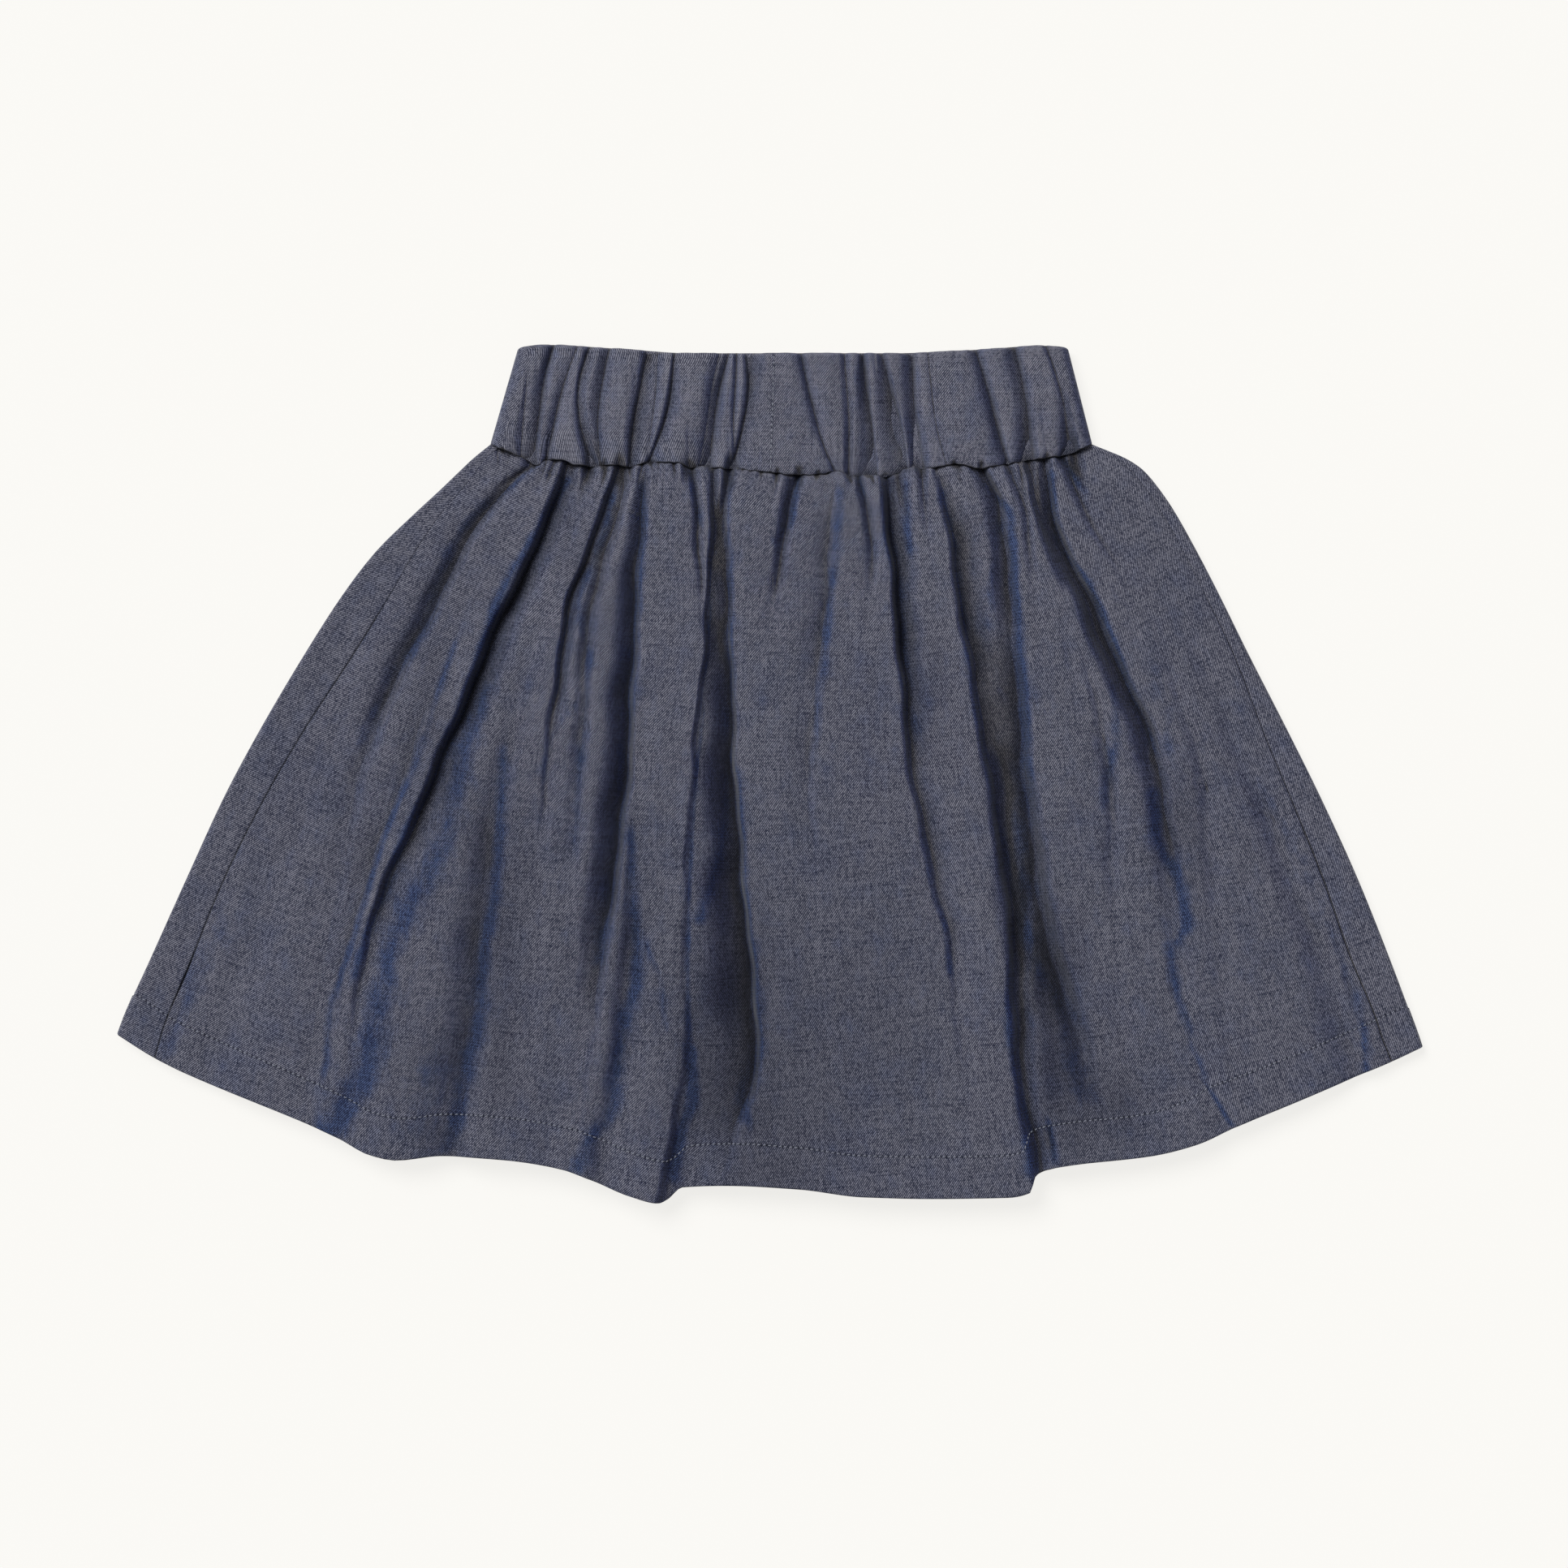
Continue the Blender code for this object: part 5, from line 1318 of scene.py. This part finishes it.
def sew_line(name, path, facing, lift, material):
    """A row of stitches along a line of points. facing is the way that the cloth faces at each."""
    sewing = bpy.context.scene.skirt_sewing
    form, faces = stitch_form()
    vertices, polygons, places = [], [], []
    for index, (spot, ahead, out) in enumerate(zip(*spaced(path, facing, sewing.stitch_pitch))):
        aside = np.cross(out, ahead)
        aside /= np.linalg.norm(aside)
        above = np.cross(ahead, aside)
        ahead = ahead + (0.16 + 0.10 * np.sin(index * 2.4)) * aside
        reach = sewing.stitch_length * (1 + 0.10 * np.sin(index * 1.7))
        start = len(vertices)
        for point in form:
            offset = sewing.thread_radius * (point[1] * aside + (point[2] + 0.4) * above)
            vertices.append(spot + lift * out + reach * point[0] * ahead + offset)
        for face in faces:
            polygons.append([start + corner for corner in face])
            places += [(form[corner][0], corner % STITCH_SIDES / STITCH_SIDES) for corner in face]
    mesh = bpy.data.meshes.new(name)
    mesh.from_pydata(vertices, [], polygons)
    mesh.uv_layers.new(name="weave").data.foreach_set("uv", np.array(places, "f").ravel())
    mesh.shade_smooth()
    add_piece(mesh, material, None)


def make_stitching():
    """The hem's stitching, front and back, and the line that quilts the band at its middle."""
    material = thread_finish()
    surface, _, _, up, _ = front_surface()
    line = hem_line(surface, up)
    sew_line("front_hem_stitches", line, 0 * line + (0, 0, 1), 0.05 * MM, material)
    surface, level, _, up, _ = back_surface()
    line = hem_line(surface, up)
    height = 2 * level / EDGE_TOP - 1
    outward = np.sign(line[:, 0]) * np.sqrt(np.clip(1 - height**2, 0, 1))
    facing = np.stack([outward, 0 * level, height], axis=1)
    sew_line("back_hem_stitches", line, facing, -0.05 * MM, material)
    rise = np.linspace(0.02, 0.98, 60)
    x, y = band_place(0 * rise + BAND_SEAM_PART, rise)
    line = np.stack([x, y, 2 * BAND_HALF + casing_relief(x, rise)], axis=1)
    sew_line("band_stitches", line, 0 * line + (0, 0, 1), 0.02 * MM, material)


def declare_cloth():
    """Looks up each sheet of cloth and its row of stitches."""
    find = bpy.data.objects.get
    for name, flat, area, held, rests, row in (
        ("front_panel_cloth", FRONT_CUT, FRONT_AREA, "laid", ["back_panel"], "front_hem_stitches"),
        ("back_panel_cloth", BACK_CUT, BACK_AREA, "laid", [], "back_hem_stitches"),
        ("waistband_casing", BAND_CUT, None, "gathered", ["front_panel"], "band_stitches"),
    ):
        rows = [find(row)]
        find(name)


def make_stage():
    """A pale table, soft light from the upper left and a camera straight above."""
    stage = bpy.context.scene.skirt_stage
    finish = Finish("table")
    finish.shine(Base_Color=(*stage.table, 1), Roughness=0.9, Specular_IOR_Level=0.1)
    finish.shine(Emission_Color=(*stage.table_glow, 1), Emission_Strength=1.0)
    bpy.ops.mesh.primitive_plane_add(size=TABLE_SIZE, location=(0, 0, -TABLE_DROP))
    table = bpy.context.object
    table.name = "table"
    table.data.materials.append(finish.material)
    table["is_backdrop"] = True

    sun = bpy.data.lights.new("window", "SUN")
    sun.energy = stage.key
    sun.angle = stage.key_spread
    sun.color = stage.key_colour
    window = bpy.data.objects.new("window", sun)
    window.rotation_euler = (stage.key_tilt, 0, stage.key_turn)

    world = bpy.data.worlds.new("studio")
    world.use_nodes = True
    background = world.node_tree.nodes["Background"]
    background.inputs["Color"].default_value = (*stage.fill_colour, 1)
    background.inputs["Strength"].default_value = stage.fill

    lens = bpy.data.cameras.new("camera")
    lens.sensor_width = SENSOR_WIDTH
    lens.lens = SENSOR_WIDTH * stage.camera_height / stage.view_width
    camera = bpy.data.objects.new("camera", lens)
    camera.location = (*stage.view_centre, stage.camera_height)

    scene = bpy.context.scene
    for thing in (window, camera):
        scene.collection.objects.link(thing)
    scene.world = world
    scene.camera = camera
    scene.view_settings.view_transform = "Standard"


Length = partial(FloatProperty, subtype="DISTANCE")
Angle = partial(FloatProperty, subtype="ANGLE")
Colour = partial(FloatVectorProperty, subtype="COLOR")
Tint = partial(FloatVectorProperty, size=3)


class SkirtCloth(bpy.types.PropertyGroup):
    """The twill of both panels and of the casing"""

    thickness: Length(name="Thickness", description="Thickness of one layer", default=0.45 * MM)
    end_pitch: FloatProperty(
        name="End pitch", description="Spacing of the lengthwise yarns, in millimetres", default=0.263
    )
    pick_pitch: FloatProperty(
        name="Pick pitch", description="Spacing of the crosswise yarns, in millimetres", default=0.334
    )
    pale_yarn: Colour(name="Pale yarn", description="Lengthwise yarn", default=(0.270, 0.270, 0.330))
    dark_yarn: Colour(
        name="Dark yarn", description="Gaps and crosswise yarn", default=(0.012, 0.016, 0.040)
    )
    # Blue yarn, painted as sheen where the cloth leans left toward the light
    flank: Tint(name="Flank", description="Tint where the cloth leans left", default=(0.31, 0.46, 0.80))
    shadow: Tint(name="Shadow", description="Tint where it leans right", default=(0.34, 0.40, 0.70))
    # Painted shade, greyer, on the floor of a fold
    floor: Tint(name="Floor", description="Tint on the floor of a fold", default=(0.62, 0.58, 0.50))
    occluded: FloatProperty(
        name="Occluded", description="How much of its colour the cloth keeps deep in a fold", default=0.50
    )
    # Painted shade beside a fold's sharp edge
    cores: Tint(name="Cores", description="Tint beside a fold's sharp edge", default=(0.26, 0.31, 0.50))
    # The tint of the painted shade in the shaded patches
    dulled: Tint(name="Dulled", description="Tint where the cloth is duller", default=(0.60, 0.61, 0.65))
    roughness: FloatProperty(name="Roughness", description="Roughness of the yarn", default=0.82)
    sheen: FloatProperty(name="Sheen", description="Weight of the soft sheen", default=0.18)


class SkirtSewing(bpy.types.PropertyGroup):
    """The turned hem and the stitching"""

    hem_stitch: Length(
        name="Hem stitch", description="Height of the stitching above the hem", default=14.6 * MM
    )
    hem_radius: Length(name="Hem roll", description="Radius of the roll at the hem", default=0.6 * MM)
    stitch_length: Length(name="Stitch length", description="Length of a stitch", default=1.15 * MM)
    stitch_pitch: Length(name="Stitch pitch", description="Spacing of the stitches", default=1.83 * MM)
    thread_radius: Length(name="Thread radius", description="Radius of the thread", default=0.17 * MM)
    thread: Colour(name="Thread", description="Colour of the thread", default=(0.330, 0.350, 0.430))


class SkirtStage(bpy.types.PropertyGroup):
    """The table, the light and the camera"""

    table: Colour(name="Table", description="Colour of the table", default=(0.158, 0.156, 0.151))
    table_glow: Colour(
        name="Table glow", description="Light that comes up through the table",
        default=(0.815, 0.805, 0.778),
    )
    key: FloatProperty(name="Key", description="Strength of the upper left light", default=2.75)
    key_colour: Colour(name="Key colour", description="Colour of that light", default=(1, 0.992, 0.975))
    key_spread: Angle(name="Key spread", description="Size of that light in the sky", default=0.60)
    key_tilt: Angle(name="Key tilt", description="How far it leans from straight above", default=0.72)
    key_turn: Angle(name="Key turn", description="Which side it comes from", default=3.85)
    fill: FloatProperty(name="Fill", description="Strength of the light all round", default=0.26)
    fill_colour: Colour(name="Fill colour", description="Colour of that light", default=(0.97, 0.985, 1))
    camera_height: Length(
        name="Camera height", description="Height of the camera above the table", default=2.0
    )
    view_width: Length(name="View width", description="Width of the view", default=0.5448)
    view_centre: FloatVectorProperty(
        name="View centre", description="Middle of the view", size=2, default=(0.00522, -0.00353),
        subtype="XYZ",
    )


class FrontPanelOperator(bpy.types.Operator):
    """Make the front panel, with its folds, gathers and turned hem"""

    bl_idname = "skirt.front_panel"
    bl_label = "Front Panel"

    def execute(self, context):
        make_front_panel()
        return {"FINISHED"}


class BackPanelOperator(bpy.types.Operator):
    """Make the back panel, which comes round both side folds"""

    bl_idname = "skirt.back_panel"
    bl_label = "Back Panel"

    def execute(self, context):
        make_back_panel()
        return {"FINISHED"}


class WaistbandOperator(bpy.types.Operator):
    """Make the gathered casing of the waistband"""

    bl_idname = "skirt.waistband"
    bl_label = "Waistband"

    def execute(self, context):
        make_waistband()
        return {"FINISHED"}


class StitchingOperator(bpy.types.Operator):
    """Sew the hems and the band, and look up each sheet of cloth"""

    bl_idname = "skirt.stitching"
    bl_label = "Stitching"

    def execute(self, context):
        make_stitching()
        declare_cloth()
        return {"FINISHED"}


class StageOperator(bpy.types.Operator):
    """Set up the table, the light and the camera"""

    bl_idname = "skirt.stage"
    bl_label = "Stage"

    def execute(self, context):
        make_stage()
        return {"FINISHED"}


OPERATORS = (
    FrontPanelOperator, BackPanelOperator, WaistbandOperator, StitchingOperator, StageOperator,
)


class SkirtPanel(bpy.types.Panel):
    """The skirt's pieces and settings"""

    bl_idname = "VIEW3D_PT_skirt"
    bl_label = "Gathered Skirt"
    bl_space_type = "VIEW_3D"
    bl_region_type = "UI"
    bl_category = "Skirt"

    def draw(self, context):
        for operator in OPERATORS:
            self.layout.operator(operator.bl_idname)
        for group in SETTINGS:
            settings, box = getattr(context.scene, group), self.layout.box()
            for name in settings.__annotations__:
                box.prop(settings, name)


SETTINGS = {"skirt_cloth": SkirtCloth, "skirt_sewing": SkirtSewing, "skirt_stage": SkirtStage}
CLASSES = (*SETTINGS.values(), *OPERATORS, SkirtPanel)


def register():
    for cls in CLASSES:
        bpy.utils.register_class(cls)
    for group, cls in SETTINGS.items():
        setattr(bpy.types.Scene, group, PointerProperty(type=cls))


def unregister():
    for group in SETTINGS:
        delattr(bpy.types.Scene, group)
    for cls in reversed(CLASSES):
        bpy.utils.unregister_class(cls)


def main():
    register()
    bpy.ops.skirt.front_panel()
    bpy.ops.skirt.back_panel()
    bpy.ops.skirt.waistband()
    bpy.ops.skirt.stitching()
    bpy.ops.skirt.stage()
    boxes = {"cad": CAD_BOX, "visual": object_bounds()}
    boxes = {name: [list(map(float, corner)) for corner in box] for name, box in boxes.items()}


if __name__ == "__main__":
    main()
